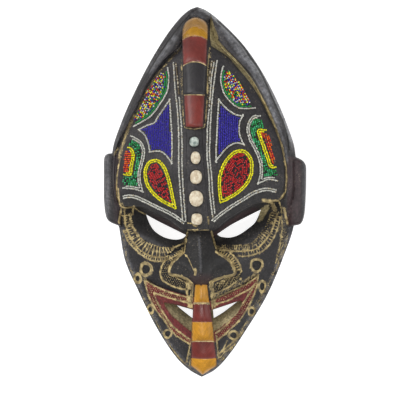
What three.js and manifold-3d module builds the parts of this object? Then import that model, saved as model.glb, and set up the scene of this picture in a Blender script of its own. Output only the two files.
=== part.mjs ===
// Carved wooden wall mask with a beaded forehead, lying on its back with the face up.
// Millimetres: +X to the right as one looks at the face, +Y to the top point, +Z out of the face.
// The flat back rim lies at z = 0.

import * as THREE from 'three'
import { mergeVertices } from 'three/addons/utils/BufferGeometryUtils.js'
import Module from 'manifold-3d'

const wasm = await Module()
wasm.setup()

// Driving dimensions
const HALF_LENGTH = 221.5
const WALL = 11
const RIM_WIDTH = 13
const CAVITY_HEIGHT = 78
const EAR_HEIGHT = 36
const EAR_BEVEL = 3
const HOOD_INNER_DROP = 3
const HOOD_ROUND_SHARE = 0.62
const GROOVE_WIDTH = 2.4
const GROOVE_DEPTH = 4
const STRIP_RAISE = 1.2
const CREST_RAISE = 9
const CHIN_RAISE = 9
const SEGMENT_SWELL = 1.8
const LIP_RAISE = 4
const EYE_BAND_RAISE = 1.6
const EYE_BAND_WIDTH = 8
const MOUTH_SLOPE = 1.3
const SOCKET_DEPTH = 19
const BROW_SLOPE_WIDTH = 11
const RING_DEPTH = 1.5
const BEAD_THICKNESS = 2.2
const STRING_PAIR_WIDTH = 5.2
const CENTRE_BEAD_HEIGHT = 8.5
const CENTRE_BEAD_LIFT = 2.2
const FIT_GAP = 0.3
const RIM_ROOT_HEIGHT = 6
const WALL_REACH = 8
const BROW_DROP = 9
const NOSE_SIDE_FALL = 12
const NOSE_BRIDGE_FALL = 8
const NOSE_FOOT = 3
const NOSE_WING_LIFT = 4
const BAR_ROOT = 7
const BAR_EDGE_SHARE = 0.25
const FACE_ROUNDNESS = 1.8
const FOREHEAD_ROUNDNESS = 1.6
const CAVITY_ROUNDNESS = 1.7
const NOSE_ROUNDNESS = 1.5
const SOCKET_END = 9
const DEEP = -20
const HIGH = 160

// Curves through points, without overshoot between them

function through(points) {
  const p = [...points].sort((a, b) => a[0] - b[0])
  const slope = p.slice(1).map((q, i) => (q[1] - p[i][1]) / (q[0] - p[i][0]))
  const tangent = p.map((_, i) => {
    const before = slope[Math.max(i - 1, 0)]
    const after = slope[Math.min(i, slope.length - 1)]
    return before * after > 0 ? (2 * before * after) / (before + after) : 0
  })
  tangent[0] = slope[0]
  tangent[p.length - 1] = slope[slope.length - 1]
  return (a) => {
    const at = Math.min(Math.max(a, p[0][0]), p[p.length - 1][0])
    let i = 0
    while (i < p.length - 2 && at > p[i + 1][0]) i += 1
    const span = p[i + 1][0] - p[i][0]
    const t = (at - p[i][0]) / span
    const rise = p[i + 1][1] - p[i][1]
    const a1 = tangent[i] * span
    const a2 = tangent[i + 1] * span
    return p[i][1] + t * (a1 + t * (3 * rise - 2 * a1 - a2 + t * (a1 + a2 - 2 * rise)))
  }
}

const clamp = (a, low = 0, high = 1) => Math.min(Math.max(a, low), high)
const mix = (a, b, t) => a + (b - a) * t
const ease = (low, high, a) => {
  const t = clamp((a - low) / (high - low))
  return t * t * (3 - 2 * t)
}
const dome = (share, power) => 1 - (1 - clamp(share)) ** power

// Lines of the plan that run up the mask, x for a given y

const leftEdge = through([
  [-221.5, -4], [-213.5, -18], [-199, -33.5], [-163, -57.5], [-120, -79], [-77, -97],
  [-41, -103], [-13, -109.5], [20, -113], [50, -110.5], [82, -100.5], [125, -81.5],
  [168, -58.5], [204, -33.5], [218.5, -17.5], [221.5, -9.5],
])
const rightEdge = through([
  [-221.5, -4], [-213.5, 11], [-199, 25.5], [-163, 50.5], [-120, 76], [-77, 94],
  [-41, 106], [-13, 109.5], [20, 110], [50, 107.5], [82, 97.5], [125, 78.5],
  [168, 52], [204, 18.5], [218.5, -1], [221.5, -9.5],
])
const centre = through([
  [-221.5, -4], [-183, -1.5], [-144, -3.5], [-81, -5.5], [-47, -8], [-10, -11],
  [62, -13], [160, -13], [221.5, -9.5],
])

// Inner line of the hood, which runs on down the cheeks as the inner line of the rim
const hoodLeft = through([
  [-221.5, -4], [-199, -26], [-163, -50], [-120, -72], [-77, -90], [-45, -97],
  [-20, -103], [20, -105.5], [48, -104], [60, -99.5], [96, -81], [126, -67],
  [155, -47.5], [173, -28.5], [190, -22], [214, -14], [221.5, -9.6],
])
const hoodRight = through([
  [-221.5, -4], [-199, 18], [-163, 42], [-120, 67], [-77, 85], [-45, 92],
  [-12, 92], [14, 95.5], [37, 94.5], [65, 88], [89, 77.5], [134, 55.5],
  [158, 34], [171, 20.5], [180, 13.5], [194, 8.5], [214, 4], [221.5, -9.4],
])

// Lower edge of the forehead, y for a given x
const browLine = through([
  [-104.5, -6], [-101, -13], [-94, -16.5], [-75, -17.5], [-57, -25], [-41, -33.5],
  [-21.5, -45.8], [5.5, -45.8], [30, -30], [49, -19], [64, -13], [80, -11], [90, -9], [94, -3],
])

// Heights from the bottom point to the top point, z for a given y

const rimHeight = through([[-221.5, 14], [-120, 19], [0, 24], [120, 20], [221.5, 15]])
const hoodHeight = through([[-40, 42], [20, 46], [90, 46], [150, 42], [200, 36], [221.5, 27]])
const faceHeight = through([
  [-221.5, 20], [-200, 33], [-170, 45], [-140, 54], [-110, 61], [-80, 66], [-50, 68], [0, 68],
])
const foreheadHeight = through([
  [-50, 91], [-20, 95], [20, 95], [60, 90], [100, 81], [140, 67], [180, 49], [214, 32],
])
const foreheadEdge = through([[-20, 47], [20, 48], [60, 46], [120, 42], [170, 35], [214, 27]])

// Surfaces, z for a given place

function sideOf(x, y) {
  const left = x < centre(y)
  const edge = left ? leftEdge(y) : rightEdge(y)
  const inner = left ? hoodLeft(y) : hoodRight(y)
  return { edge, inner, middle: centre(y) }
}

function face(x, y) {
  const { edge, middle } = sideOf(x, y)
  const share = (x - edge) / (middle - edge)
  return mix(rimHeight(y), faceHeight(y), dome(share, FACE_ROUNDNESS))
}

function hood(x, y) {
  const { edge, inner } = sideOf(x, y)
  const share = clamp((x - edge) / (inner - edge))
  const round = Math.sin((Math.PI / 2) * Math.min(1, share / HOOD_ROUND_SHARE))
  const fall = Math.max(0, (share - HOOD_ROUND_SHARE) / (1 - HOOD_ROUND_SHARE))
  return mix(rimHeight(y), hoodHeight(y), round) - HOOD_INNER_DROP * fall * fall
}

function forehead(x, y) {
  const { inner, middle } = sideOf(x, y)
  const share = (x - inner) / (middle - inner)
  return mix(foreheadEdge(y), foreheadHeight(y), dome(share, FOREHEAD_ROUNDNESS))
}

// Each eye socket is a long bowl along its eye, from the outer corner to the nose
const SOCKETS = [
  { from: [-84, -22], to: [-20, -57], radius: 15 },
  { from: [78, -16], to: [12, -57], radius: 15 },
]

function socket(x, y) {
  const bowls = SOCKETS.map(({ from, to, radius }) => {
    const run = [to[0] - from[0], to[1] - from[1]]
    const length = Math.hypot(...run)
    const along = ((x - from[0]) * run[0] + (y - from[1]) * run[1]) / length
    const across = ((x - from[0]) * run[1] - (y - from[1]) * run[0]) / length
    const past = Math.max(0, -along, along - length)
    return Math.exp(-((across / radius) ** 2) - (past / SOCKET_END) ** 2)
  })
  return SOCKET_DEPTH * Math.max(...bowls)
}

// Hood and lower face in one, with the underside of the brow above the eyes
function carved(x, y) {
  const low = face(x, y) - socket(x, y)
  const below = browLine(x) - y
  const overEye = ease(-88, -66, x) * (1 - ease(62, 82, x))
  const slope = 1 - ease(0, BROW_SLOPE_WIDTH, below)
  const brow = mix(low, Math.max(low, forehead(x, y) - BROW_DROP), slope * overEye)
  return mix(brow, hood(x, y), ease(-40, 5, y) * (below > 0 ? 1 - overEye : 1))
}

// The mouth's floor slopes down from the lower lip to the holes under the upper lip, y for a given x
const mouthLow = through([[-50, -131], [-30, -153.5], [-13, -167], [7, -170], [32.5, -147.5], [46, -128]])
const mouthHigh = through([[-49, -131], [-33, -134.5], [-13, -140.5], [7, -141], [28, -134], [45, -128]])
const mouthFloor = (x, y) => face(x, y) + LIP_RAISE - MOUTH_SLOPE * (y - mouthLow(x))

// Highest wood at a place, without nose and crest
function skin(x, y) {
  const inForehead = y > browLine(x) && x > hoodLeft(y) && x < hoodRight(y)
  const inMouth = y > mouthLow(x) && y < mouthHigh(x)
  if (inMouth) return Math.min(face(x, y), mouthFloor(x, y))
  return inForehead ? forehead(x, y) : carved(x, y)
}

// Inside of the mask: a smooth vault that keeps the wall thickness everywhere
function cavity(x, y) {
  let low = skin(x, y)
  for (let turn = 0; turn < 8; turn += 1) {
    const angle = (turn * Math.PI) / 4
    const reach = [WALL_REACH * Math.cos(angle), WALL_REACH * Math.sin(angle)]
    low = Math.min(low, skin(x + reach[0], y + reach[1]))
  }
  const { edge, middle } = sideOf(x, y)
  const start = edge + Math.sign(middle - edge) * RIM_WIDTH
  const share = (x - start) / (middle - start)
  return Math.min(low - WALL, mix(RIM_ROOT_HEIGHT, CAVITY_HEIGHT, dome(share, CAVITY_ROUNDNESS)))
}

// Solids

function manifold(geometry) {
  geometry.deleteAttribute('normal')
  geometry.deleteAttribute('uv')
  const merged = mergeVertices(geometry, 1e-4)
  return new wasm.Manifold(new wasm.Mesh({
    numProp: 3,
    vertProperties: new Float32Array(merged.attributes.position.array),
    triVerts: new Uint32Array(merged.index.array),
  }))
}

function geometryOf(solid) {
  const mesh = solid.getMesh()
  const geometry = new THREE.BufferGeometry()
  geometry.setAttribute('position', new THREE.BufferAttribute(mesh.vertProperties, 3))
  geometry.setIndex(new THREE.BufferAttribute(mesh.triVerts, 1))
  return geometry
}

const points = (pairs) => pairs.map(([x, y]) => new THREE.Vector2(x, y))
const splined = (pairs, count) => new THREE.SplineCurve(points(pairs)).getPoints(count)

function prism(outline, holes = []) {
  const shape = new THREE.Shape(outline)
  shape.holes = holes.map((hole) => new THREE.Path(hole))
  const geometry = new THREE.ExtrudeGeometry(shape, { depth: HIGH - DEEP, bevelEnabled: false })
  return manifold(geometry.translate(0, 0, DEEP))
}

// Closed block over rows of the plan: each row has the same number of columns
function loft(rows, columnsAt, bottom, top) {
  const columns = columnsAt(rows[0]).length
  const position = []
  for (const height of [bottom, top]) {
    for (const y of rows) {
      for (const x of columnsAt(y)) position.push(x, y, height(x, y))
    }
  }
  const lastRow = rows.length - 1
  const lastColumn = columns - 1
  const at = (row, column, side) => (side * rows.length + row) * columns + column
  const index = []
  const quad = (a, b, c, d) => index.push(a, b, c, a, c, d)
  for (let r = 0; r < lastRow; r += 1) {
    for (let c = 0; c < lastColumn; c += 1) {
      quad(at(r, c, 1), at(r, c + 1, 1), at(r + 1, c + 1, 1), at(r + 1, c, 1))
      quad(at(r, c, 0), at(r + 1, c, 0), at(r + 1, c + 1, 0), at(r, c + 1, 0))
    }
    quad(at(r + 1, 0, 0), at(r, 0, 0), at(r, 0, 1), at(r + 1, 0, 1))
    const c = lastColumn
    quad(at(r, c, 0), at(r + 1, c, 0), at(r + 1, c, 1), at(r, c, 1))
  }
  for (let c = 0; c < lastColumn; c += 1) {
    quad(at(0, c, 0), at(0, c + 1, 0), at(0, c + 1, 1), at(0, c, 1))
    const r = lastRow
    quad(at(r, c + 1, 0), at(r, c, 0), at(r, c, 1), at(r, c + 1, 1))
  }
  const geometry = new THREE.BufferGeometry()
  geometry.setAttribute('position', new THREE.Float32BufferAttribute(position, 3))
  geometry.setIndex(index)
  return manifold(geometry)
}

function spread(from, to, step) {
  const count = Math.max(1, Math.round(Math.abs(to - from) / step))
  return Array.from({ length: count + 1 }, (_, i) => mix(from, to, i / count))
}

const spreads = (...parts) => [...new Set(parts.flatMap((part) => spread(...part)))]

// Block with a straight-sided outline and a shaped top and bottom
function patch(outline, bottom, top, stepX, stepY = stepX) {
  const box = new THREE.Box2().setFromPoints(outline).expandByScalar(1)
  const columns = spread(box.min.x, box.max.x, stepX)
  const rows = spread(box.min.y, box.max.y, stepY)
  return prism(outline).intersect(loft(rows, () => columns, bottom, top))
}

const level = (height) => () => height
const shifted = (surface, by) => (x, y) => surface(x, y) + by
const between = (lines, shares) => (y) => shares.flatMap((row, i) => (
  row.map((share) => mix(lines[i](y), lines[i + 1](y), share))
))
const along = (curve, from, to, step) => spread(from, to, step).map((y) => (
  new THREE.Vector2(curve(y), y)
))

// Rows and columns that follow the outline of the mask

const LAST = HALF_LENGTH - 0.3
const BODY_ROWS = spreads(
  [-LAST, -196, 8.4], [-196, -78, 15], [-78, 2, 8], [2, 196, 19], [196, LAST, 8.4],
)
const BODY_COLUMNS = between(
  [leftEdge, hoodLeft, centre, hoodRight, rightEdge],
  [[0, 0.25, 0.62], [0, 0.16, 0.36, 0.58, 0.8], [0, 0.2, 0.42, 0.64, 0.84], [0, 0.38, 0.75, 1]],
)
const CAVITY_END = 188
const CAVITY_ROWS = spread(-CAVITY_END, CAVITY_END, 17)
const CAVITY_COLUMNS = between(
  [(y) => leftEdge(y) + RIM_WIDTH, centre, (y) => rightEdge(y) - RIM_WIDTH],
  [[0, 0.15, 0.4, 0.7], [0, 0.3, 0.6, 0.85, 1]],
)
const FOREHEAD_ROWS = spread(-52, 208, 14.5)
const FOREHEAD_COLUMNS = between(
  [hoodLeft, centre, hoodRight],
  [[-0.05, 0.14, 0.34, 0.56, 0.78], [0, 0.22, 0.44, 0.66, 0.86, 1.05]],
)

const foreheadBlock = (bottom, top) => loft(FOREHEAD_ROWS, FOREHEAD_COLUMNS, bottom, top)

// Outlines

function foreheadOutline(margin = 0) {
  const brow = spread(-104.5 - margin, 94 + margin, 5.5).map((x) => (
    new THREE.Vector2(x, browLine(x) - margin)
  ))
  const right = along(hoodRight, 4, 206, 12).map((p) => p.setX(p.x + margin))
  const left = along(hoodLeft, 206, 2, 12).map((p) => p.setX(p.x - margin))
  return [...brow, ...right, ...left]
}

function ribbon(pairs, width, count = 12) {
  const curve = new THREE.SplineCurve(points(pairs))
  const sides = [[], []]
  for (let step = 0; step <= count; step += 1) {
    const at = curve.getPoint(step / count)
    const run = curve.getTangent(step / count)
    const across = new THREE.Vector2(run.y, -run.x).multiplyScalar(width / 2)
    sides[0].push(at.clone().add(across))
    sides[1].push(at.clone().sub(across))
  }
  return [...sides[0], ...sides[1].reverse()]
}

// Closed outline made of smooth runs that meet at corners
const joined = (...runs) => runs.flatMap(([count, pairs]) => splined(pairs, count).slice(0, -1))

// Eyes and mouth

const EYE_LEFT = joined(
  [5, [[-70.5, -27], [-57, -34.5], [-43, -41.5], [-22.5, -51.5]]],
  [9, [[-22.5, -51.5], [-27, -55.5], [-36, -57], [-48, -54.5], [-59.5, -47.5], [-66, -38.5], [-70.5, -27]]],
)
const EYE_RIGHT = joined(
  [5, [[14.5, -50.5], [31, -39.5], [50, -29.5], [67, -21]]],
  [9, [[67, -21], [60.5, -35.5], [52, -43.5], [41, -51], [30, -54.5], [19, -53.5], [14.5, -50.5]]],
)
const MOUTH_HOLES = [
  points([[-34, -135.5], [-28.5, -140.5], [-21, -146.5], [-15, -151], [-14.5, -141]]),
  points([[39, -131], [9.5, -141], [10.5, -151], [20.5, -145], [28, -139.5]]),
]
const MOUTHS = [
  points([[-49.5, -131.5], [-30, -153.5], [-13, -167], [-13, -140.5], [-33.5, -134.5]]),
  points([[45, -129], [28, -134], [7, -141], [7, -170], [32.5, -147.5]]),
]

const LIPS = [
  joined(
    [3, [[-72, -105], [-43, -117.5], [-8, -127]]],
    [1, [[-8, -127], [-8, -189]]],
    [5, [[-8, -189], [-21, -181], [-47, -155], [-59, -139], [-72, -105]]],
  ),
  joined(
    [5, [[63.5, -99.5], [59.5, -117], [51, -134], [25.5, -167], [3, -187]]],
    [1, [[3, -187], [3, -130]]],
    [3, [[3, -130], [28, -122], [63.5, -99.5]]],
  ),
]

// Nose: a ridged bridge between two pointed wings

const noseRidge = through([[-112, 70], [-105, 88], [-97, 99.5], [-80, 96], [-60, 87], [-46, 80]])
const noseLeft = through([
  [-111, -13], [-106, -20], [-99.5, -36], [-96, -44], [-87, -41], [-80, -33],
  [-74, -24.5], [-63, -21.5], [-45, -19],
])
const noseRight = through([
  [-111, 3], [-106, 9], [-99.5, 30], [-96, 35.5], [-84, 29], [-78, 22],
  [-68, 11.5], [-60, 8.5], [-45, 5],
])
const bridgeHalf = through([[-112, 6], [-97, 7], [-74, 17], [-45, 13]])

function nose(x, y) {
  const left = x < centre(y)
  const off = Math.abs(x - centre(y))
  const half = left ? centre(y) - noseLeft(y) : noseRight(y) - centre(y)
  const foot = face(x, y) + NOSE_FOOT + NOSE_WING_LIFT * ease(-70, -90, y)
  const wing = mix(noseRidge(y) - NOSE_SIDE_FALL, foot, clamp(off / half))
  const bridge = noseRidge(y) - NOSE_BRIDGE_FALL * (off / bridgeHalf(y)) ** NOSE_ROUNDNESS
  return Math.max(wing, bridge)
}

const NOSE = [...along(noseRight, -111, -44, 4.5), ...along(noseLeft, -44, -111, 4.5)]

// Crest and chin bar: rows of painted barrels, each swelling to its lower end

const crestLeft = through([
  [78, -23], [114, -25], [151, -26], [180, -27], [195, -26], [203, -21], [209, -13],
])
const crestRight = through([
  [78, -2.5], [114, -0.5], [151, 1.5], [180, 2.5], [195, 1.5], [203, -3], [209, -10],
])
const chinLeft = through([
  [-219, -3.5], [-212, -10], [-207, -15.5], [-178, -14.5], [-155, -14], [-132, -13], [-111, -11.5],
])
const chinRight = through([
  [-219, -2], [-212, 7], [-207, 14], [-178, 11], [-155, 9], [-132, 5], [-111, 2],
])
const CREST_STEPS = [78, 115.5, 152, 181, 209]
const CHIN_STEPS = [-219, -199, -178.5, -155.5, -133, -111]

function barrelRow(leftSide, rightSide, steps, ground, raise) {
  return steps.slice(1).map((upper, i) => {
    const lower = steps[i]
    const outline = [...along(rightSide, lower, upper, 12), ...along(leftSide, upper, lower, 12)]
    const top = (x, y) => {
      const middle = (leftSide(y) + rightSide(y)) / 2
      const half = (rightSide(y) - leftSide(y)) / 2 + 0.5
      const round = Math.sqrt(Math.max(0.05, 1 - ((x - middle) / half) ** 2))
      const swell = SEGMENT_SWELL * clamp((upper - y) / (upper - lower))
      return ground(y) + (raise + swell) * mix(BAR_EDGE_SHARE, 1, round)
    }
    return patch(outline, (x, y) => ground(y) - BAR_ROOT, top, 6, 25)
  })
}

// Ears: rounded blocks on the sides of the rim

function ear(sign, innerX, outerX, top, bottom) {
  const outline = [
    ...splined([[innerX, top], [outerX - sign * 8, top], [outerX, top - 8]], 4),
    ...splined([[outerX, bottom + 18], [outerX - sign * 3, bottom + 8], [innerX, bottom]], 4),
  ]
  const geometry = new THREE.ExtrudeGeometry(new THREE.Shape(outline), {
    depth: EAR_HEIGHT - 2 * EAR_BEVEL,
    bevelThickness: EAR_BEVEL,
    bevelSize: EAR_BEVEL,
    bevelOffset: -EAR_BEVEL,
    bevelSegments: 2,
  })
  return manifold(geometry.translate(0, 0, EAR_BEVEL))
}

// Incised rings on the cheeks: place, outer radius, inner radius
const RINGS = [
  [-71, -92.5, 8.2, 4.6], [-80.5, -104, 5.6, 2.8], [-65, -141.5, 5, 2.6], [-44.5, -170, 5.6, 3.4],
  [61.5, -87.5, 8.6, 5.2], [68.5, -112, 5.6, 2.8], [55.5, -143, 5, 2.6], [34, -171.5, 6, 3.4],
]
const RING_SIDES = 9

function ring([x, y, outer, inner]) {
  const round = (radius) => Array.from({ length: RING_SIDES }, (_, step) => {
    const angle = (step * 2 * Math.PI) / RING_SIDES
    return new THREE.Vector2(x + radius * Math.cos(angle), y + radius * Math.sin(angle))
  })
  const spot = [x - 10, x + 10]
  const floor = loft([y - 10, y + 10], () => spot, shifted(carved, -RING_DEPTH), level(HIGH))
  return prism(round(outer), [round(inner)]).intersect(floor)
}

// Raised band under each eye
const EYE_BANDS = [
  [[-97, -43], [-93, -55], [-85, -66], [-74, -74], [-62, -79.5], [-46, -79.5], [-29, -72]],
  [[89, -36], [86, -52], [78, -64], [66, -73], [52, -78], [36, -77], [20, -71]],
]

// Five large beads down the middle of the forehead: place, width, length
const CENTRE_BEADS = [
  [-13, 59.5, 11, 12], [-11.2, 40.5, 11.5, 15], [-10.7, 17.5, 14, 16.5], [-10.5, -8, 16.5, 19],
  [-9.8, -32.5, 13, 13.5],
]

function centreBead([x, y, width, length], grow = 0) {
  const geometry = new THREE.SphereGeometry(1, 12, 8).rotateX(Math.PI / 2)
  geometry.scale(width / 2 + grow, length / 2 + grow, CENTRE_BEAD_HEIGHT / 2 + grow)
  return geometry.translate(x, y, forehead(x, y) + STRIP_RAISE + CENTRE_BEAD_LIFT)
}

const stripLeft = through([[-45.5, -20], [0, -21], [70, -22]])
const stripRight = through([[-45.5, 4], [-20, 3], [20, -1], [70, -4]])
const CENTRE_STRIP = [...along(stripRight, -45.5, 80, 40), ...along(stripLeft, 80, -45.5, 40)]

// Wood

function maskBody() {
  const grooveFloor = (x, y) => foreheadEdge(y) - GROOVE_DEPTH
  const aroundForehead = foreheadOutline(GROOVE_WIDTH).filter((p) => p.y > -4)
  const shell = loft(BODY_ROWS, BODY_COLUMNS, level(0), carved)
  const pieces = [
    shell.subtract(patch(aroundForehead, grooveFloor, level(HIGH), 200, 20)),
    prism(foreheadOutline()).intersect(foreheadBlock(level(12), forehead)),
    patch(CENTRE_STRIP, level(40), shifted(forehead, STRIP_RAISE), 30, 11),
    patch(NOSE, level(10), nose, 5.5, 6),
    ear(-1, -100, -121, 46, -43),
    ear(1, 98, 121, 43, -43),
  ]
  for (const lip of LIPS) pieces.push(patch(lip, level(10), shifted(face, LIP_RAISE), 14))
  for (const band of EYE_BANDS) {
    const outline = ribbon(band, EYE_BAND_WIDTH, 9)
    pieces.push(patch(outline, level(10), shifted(carved, EYE_BAND_RAISE), 9))
  }
  const cuts = [
    ...[EYE_LEFT, EYE_RIGHT, ...MOUTH_HOLES].map((hole) => prism(hole)),
    ...MOUTHS.map((mouth) => patch(mouth, mouthFloor, level(HIGH), 10)),
    ...RINGS.map(ring),
    loft(CAVITY_ROWS, CAVITY_COLUMNS, level(DEEP), cavity),
  ]
  const bars = [
    ...barrelRow(crestLeft, crestRight, CREST_STEPS, foreheadHeight, CREST_RAISE),
    ...barrelRow(chinLeft, chinRight, CHIN_STEPS, faceHeight, CHIN_RAISE),
  ]
  const dishes = CENTRE_BEADS.map((bead) => manifold(centreBead(bead, FIT_GAP)))
  const solid = pieces.reduce((all, piece) => all.add(piece))
  const opened = cuts.reduce((all, cut) => all.subtract(cut), solid)
  const barred = bars.reduce((all, bar) => all.add(bar), opened)
  return dishes.reduce((all, dish) => all.subtract(dish), barred)
}

// Fields of small glass beads on strings, each as one thin slab on the forehead

const FIELDS = {
  speckled_beads_left: [joined(
    [6, [[-43.5, 147], [-42.5, 128.5], [-45.5, 117], [-61.5, 92], [-74, 85], [-86, 76]]],
    [4, [[-86, 76], [-76.5, 101], [-65.5, 123.5], [-52.5, 139], [-43.5, 147]]],
  )],
  speckled_beads_right: [joined(
    [6, [[21, 150.5], [18, 135], [21.5, 119.5], [36.5, 101], [46.5, 97.5], [61.5, 99]]],
    [4, [[61.5, 99], [53.5, 112.5], [44.5, 127], [34, 141.5], [21, 150.5]]],
  )],
  blue_beads_left: [joined(
    [5, [[-41.5, 111.5], [-57, 88.5], [-63.5, 80], [-80.5, 73.5]]],
    [3, [[-80.5, 73.5], [-71.5, 65.5], [-68.5, 56.5], [-66.5, 46]]],
    [4, [[-66.5, 46], [-54.5, 47], [-46.5, 42.5], [-39, 31]]],
    [3, [[-39, 31], [-38, 48], [-39, 88.5], [-41.5, 111.5]]],
  )],
  blue_beads_right: [joined(
    [3, [[16.5, 111.5], [14, 65.5], [13, 42.5], [14, 35.5]]],
    [4, [[14, 35.5], [25, 49.5], [31.5, 55], [39.5, 58], [48.5, 55]]],
    [3, [[48.5, 55], [43, 68], [42, 77], [47, 91]]],
    [4, [[47, 91], [39.5, 92], [31.5, 96.5], [22.5, 105.5], [16.5, 111.5]]],
  )],
  red_beads_left: [joined([18, [
    [-33.5, -21], [-37.5, 4.5], [-42, 21], [-46.5, 31], [-52.5, 38], [-59, 39.5], [-68.5, 35.5],
    [-72.5, 26.5], [-72.5, 17.5], [-69.5, 6], [-61.5, -4.5], [-51, -13.5], [-33.5, -21],
  ]])],
  red_beads_right: [joined([18, [
    [18, -13.5], [28.5, -9], [39.5, -2.5], [50, 7], [56.5, 18.5], [58, 29], [57, 39], [51, 47],
    [43, 50.5], [31.5, 47], [22.5, 37], [16.5, 23], [15.5, 14], [18, -13.5],
  ]])],
  green_beads_left: [joined(
    [4, [[-88.5, 68.5], [-92.5, 56.5], [-96.5, 42.5], [-98, 19.5], [-98, 3]]],
    [2, [[-98, 3], [-79.5, 1], [-72.5, -1]]],
    [8, [[-72.5, -1], [-77, 14], [-76, 27.5], [-73.5, 39], [-72.5, 50.5], [-75, 60], [-88.5, 68.5]]],
  )],
  green_beads_right: [joined(
    [2, [[60.5, 9], [71, 14], [85.5, 12.5]]],
    [4, [[85.5, 12.5], [82.5, 47], [77.5, 63], [72, 77], [67, 90]]],
    [9, [[67, 90], [58, 92.5], [51, 86], [47.5, 73], [53.5, 58.5], [59, 46], [63.5, 24], [60.5, 9]]],
  )],
  white_beads_left: [
    ribbon([[-35, 154.5], [-29.5, 83], [-28.5, 19], [-27, -4], [-23.5, -36]], STRING_PAIR_WIDTH, 8),
    ribbon(
      [[-97.5, -7], [-88, -6], [-77.5, -8.5], [-68.5, -13.5], [-45.5, -25], [-23.5, -37.5]],
      STRING_PAIR_WIDTH, 8,
    ),
  ],
  white_beads_right: [
    ribbon(
      [[12.5, 157], [8, 127], [4.5, 83], [4, 50], [6.5, 14], [8, -9], [10.2, -36]],
      STRING_PAIR_WIDTH, 9,
    ),
    ribbon(
      [[84.5, 0.5], [72, 2.5], [51, -4.5], [28.5, -19], [16.5, -28], [10.2, -35]],
      STRING_PAIR_WIDTH, 8,
    ),
  ],
}

const beadLayer = foreheadBlock(shifted(forehead, FIT_GAP), shifted(forehead, FIT_GAP + BEAD_THICKNESS))

function beadField(outlines) {
  const area = outlines.map((outline) => prism(outline)).reduce((all, one) => all.add(one))
  return area.intersect(beadLayer)
}

// Materials

const finish = (color, roughness) => new THREE.MeshStandardMaterial({ color, roughness, metalness: 0 })
const FINISHES = {
  wood: finish(0x2b2728, 0.45),
  speckled: finish(0x7f8f9a, 0.3),
  blue: finish(0x2a1f8f, 0.3),
  red: finish(0xa02028, 0.3),
  green: finish(0x1f8a4a, 0.3),
  white: finish(0xd8d8d0, 0.3),
  cream: finish(0xd8cbb0, 0.5),
  grey: finish(0x8fa39c, 0.4),
}

function named(name, geometry, look) {
  const mesh = new THREE.Mesh(geometry, look)
  mesh.name = name
  return mesh
}

const mask = new THREE.Group()
mask.add(named('mask_body', geometryOf(maskBody()), FINISHES.wood))
CENTRE_BEADS.forEach((bead, i) => {
  mask.add(named(`centre_bead_${i + 1}`, centreBead(bead), i ? FINISHES.cream : FINISHES.grey))
})
for (const [name, outlines] of Object.entries(FIELDS)) {
  mask.add(named(name, geometryOf(beadField(outlines)), FINISHES[name.split('_')[0]]))
}

export default mask
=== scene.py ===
import math

import bmesh
import bpy
import numpy as np
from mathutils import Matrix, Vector
from mathutils.geometry import delaunay_2d_cdt
from mathutils.kdtree import KDTree


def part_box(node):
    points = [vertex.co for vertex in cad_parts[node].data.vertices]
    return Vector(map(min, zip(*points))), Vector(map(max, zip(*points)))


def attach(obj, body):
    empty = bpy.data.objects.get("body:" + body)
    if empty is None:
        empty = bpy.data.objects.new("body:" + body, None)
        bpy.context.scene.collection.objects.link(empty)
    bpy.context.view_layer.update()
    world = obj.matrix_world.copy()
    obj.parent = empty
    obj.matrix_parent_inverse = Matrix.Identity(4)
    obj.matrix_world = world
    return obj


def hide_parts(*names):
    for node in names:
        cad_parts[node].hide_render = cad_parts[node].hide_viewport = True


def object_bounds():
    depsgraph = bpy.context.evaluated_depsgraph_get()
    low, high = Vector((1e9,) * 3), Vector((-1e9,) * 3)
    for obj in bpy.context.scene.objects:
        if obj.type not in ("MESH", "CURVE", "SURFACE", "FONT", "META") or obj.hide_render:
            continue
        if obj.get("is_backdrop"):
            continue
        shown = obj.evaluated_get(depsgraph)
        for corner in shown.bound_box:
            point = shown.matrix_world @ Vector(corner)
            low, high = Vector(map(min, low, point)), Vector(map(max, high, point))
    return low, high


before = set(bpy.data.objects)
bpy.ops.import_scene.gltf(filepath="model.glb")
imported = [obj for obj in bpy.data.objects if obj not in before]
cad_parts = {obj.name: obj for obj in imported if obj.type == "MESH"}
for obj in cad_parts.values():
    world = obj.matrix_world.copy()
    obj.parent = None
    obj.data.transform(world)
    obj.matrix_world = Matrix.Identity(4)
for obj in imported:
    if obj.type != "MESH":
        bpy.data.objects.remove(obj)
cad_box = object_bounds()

# The plan and the heights are in millimetres, as a carver would mark them; MM turns them into metres
MM = 0.001

# Driving dimensions
HALF_LENGTH = 221.2
WALL = 11.0
RIM_WIDTH = 13.0
CAVITY_END = 188.0
CAVITY_HEIGHT = 78.0
CAVITY_FOOT = 6.0
WALL_REACH = 8.0
HOOD_TOP = 0.62
HOOD_FALL = 3.0
EAR_HEIGHT = 36.0
EAR_ROUND = 5.0
EAR_ARCH = 2.5
GROOVE_WIDTH = 2.4
GROOVE_SLOPE = 0.8
GROOVE_DEPTH = 4.0
PANEL_ROUND = 1.4
STRIP_RAISE = 1.2
BAR_RAISE = 9.0
BAR_SWELL = 1.8
LIP_RAISE = 4.0
LID_RAISE = 1.6
MOUTH_SLOPE = 1.3
MOUTH_BLEND = 10.0
SOCKET_DEPTH = 19.0
BROW_SLOPE_WIDTH = 11.0
BROW_DROP = 9.0
CREASE = 0.5
SCOOP_EDGE = 0.4
SCOOP_DEPTH = 2.5
SCOOP_SLOPE = 1.1
RING_DEPTH = 0.9
HOLLOW_DEPTH = 2.2
SEAT_DEPTH = 1.0
SEAT_GAP = 0.3
GOUGE_DEPTH = 0.9
ROW_JUMP = 3.5
GRID_GAP = 0.65
BACK_GAP = 1.3
LINE_EDGE = 0.35
PIT_RADIUS = 0.42
PIT_EDGE = 0.25
PIT_DEPTH = 0.45
GRID_STEP = 1.8
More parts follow.
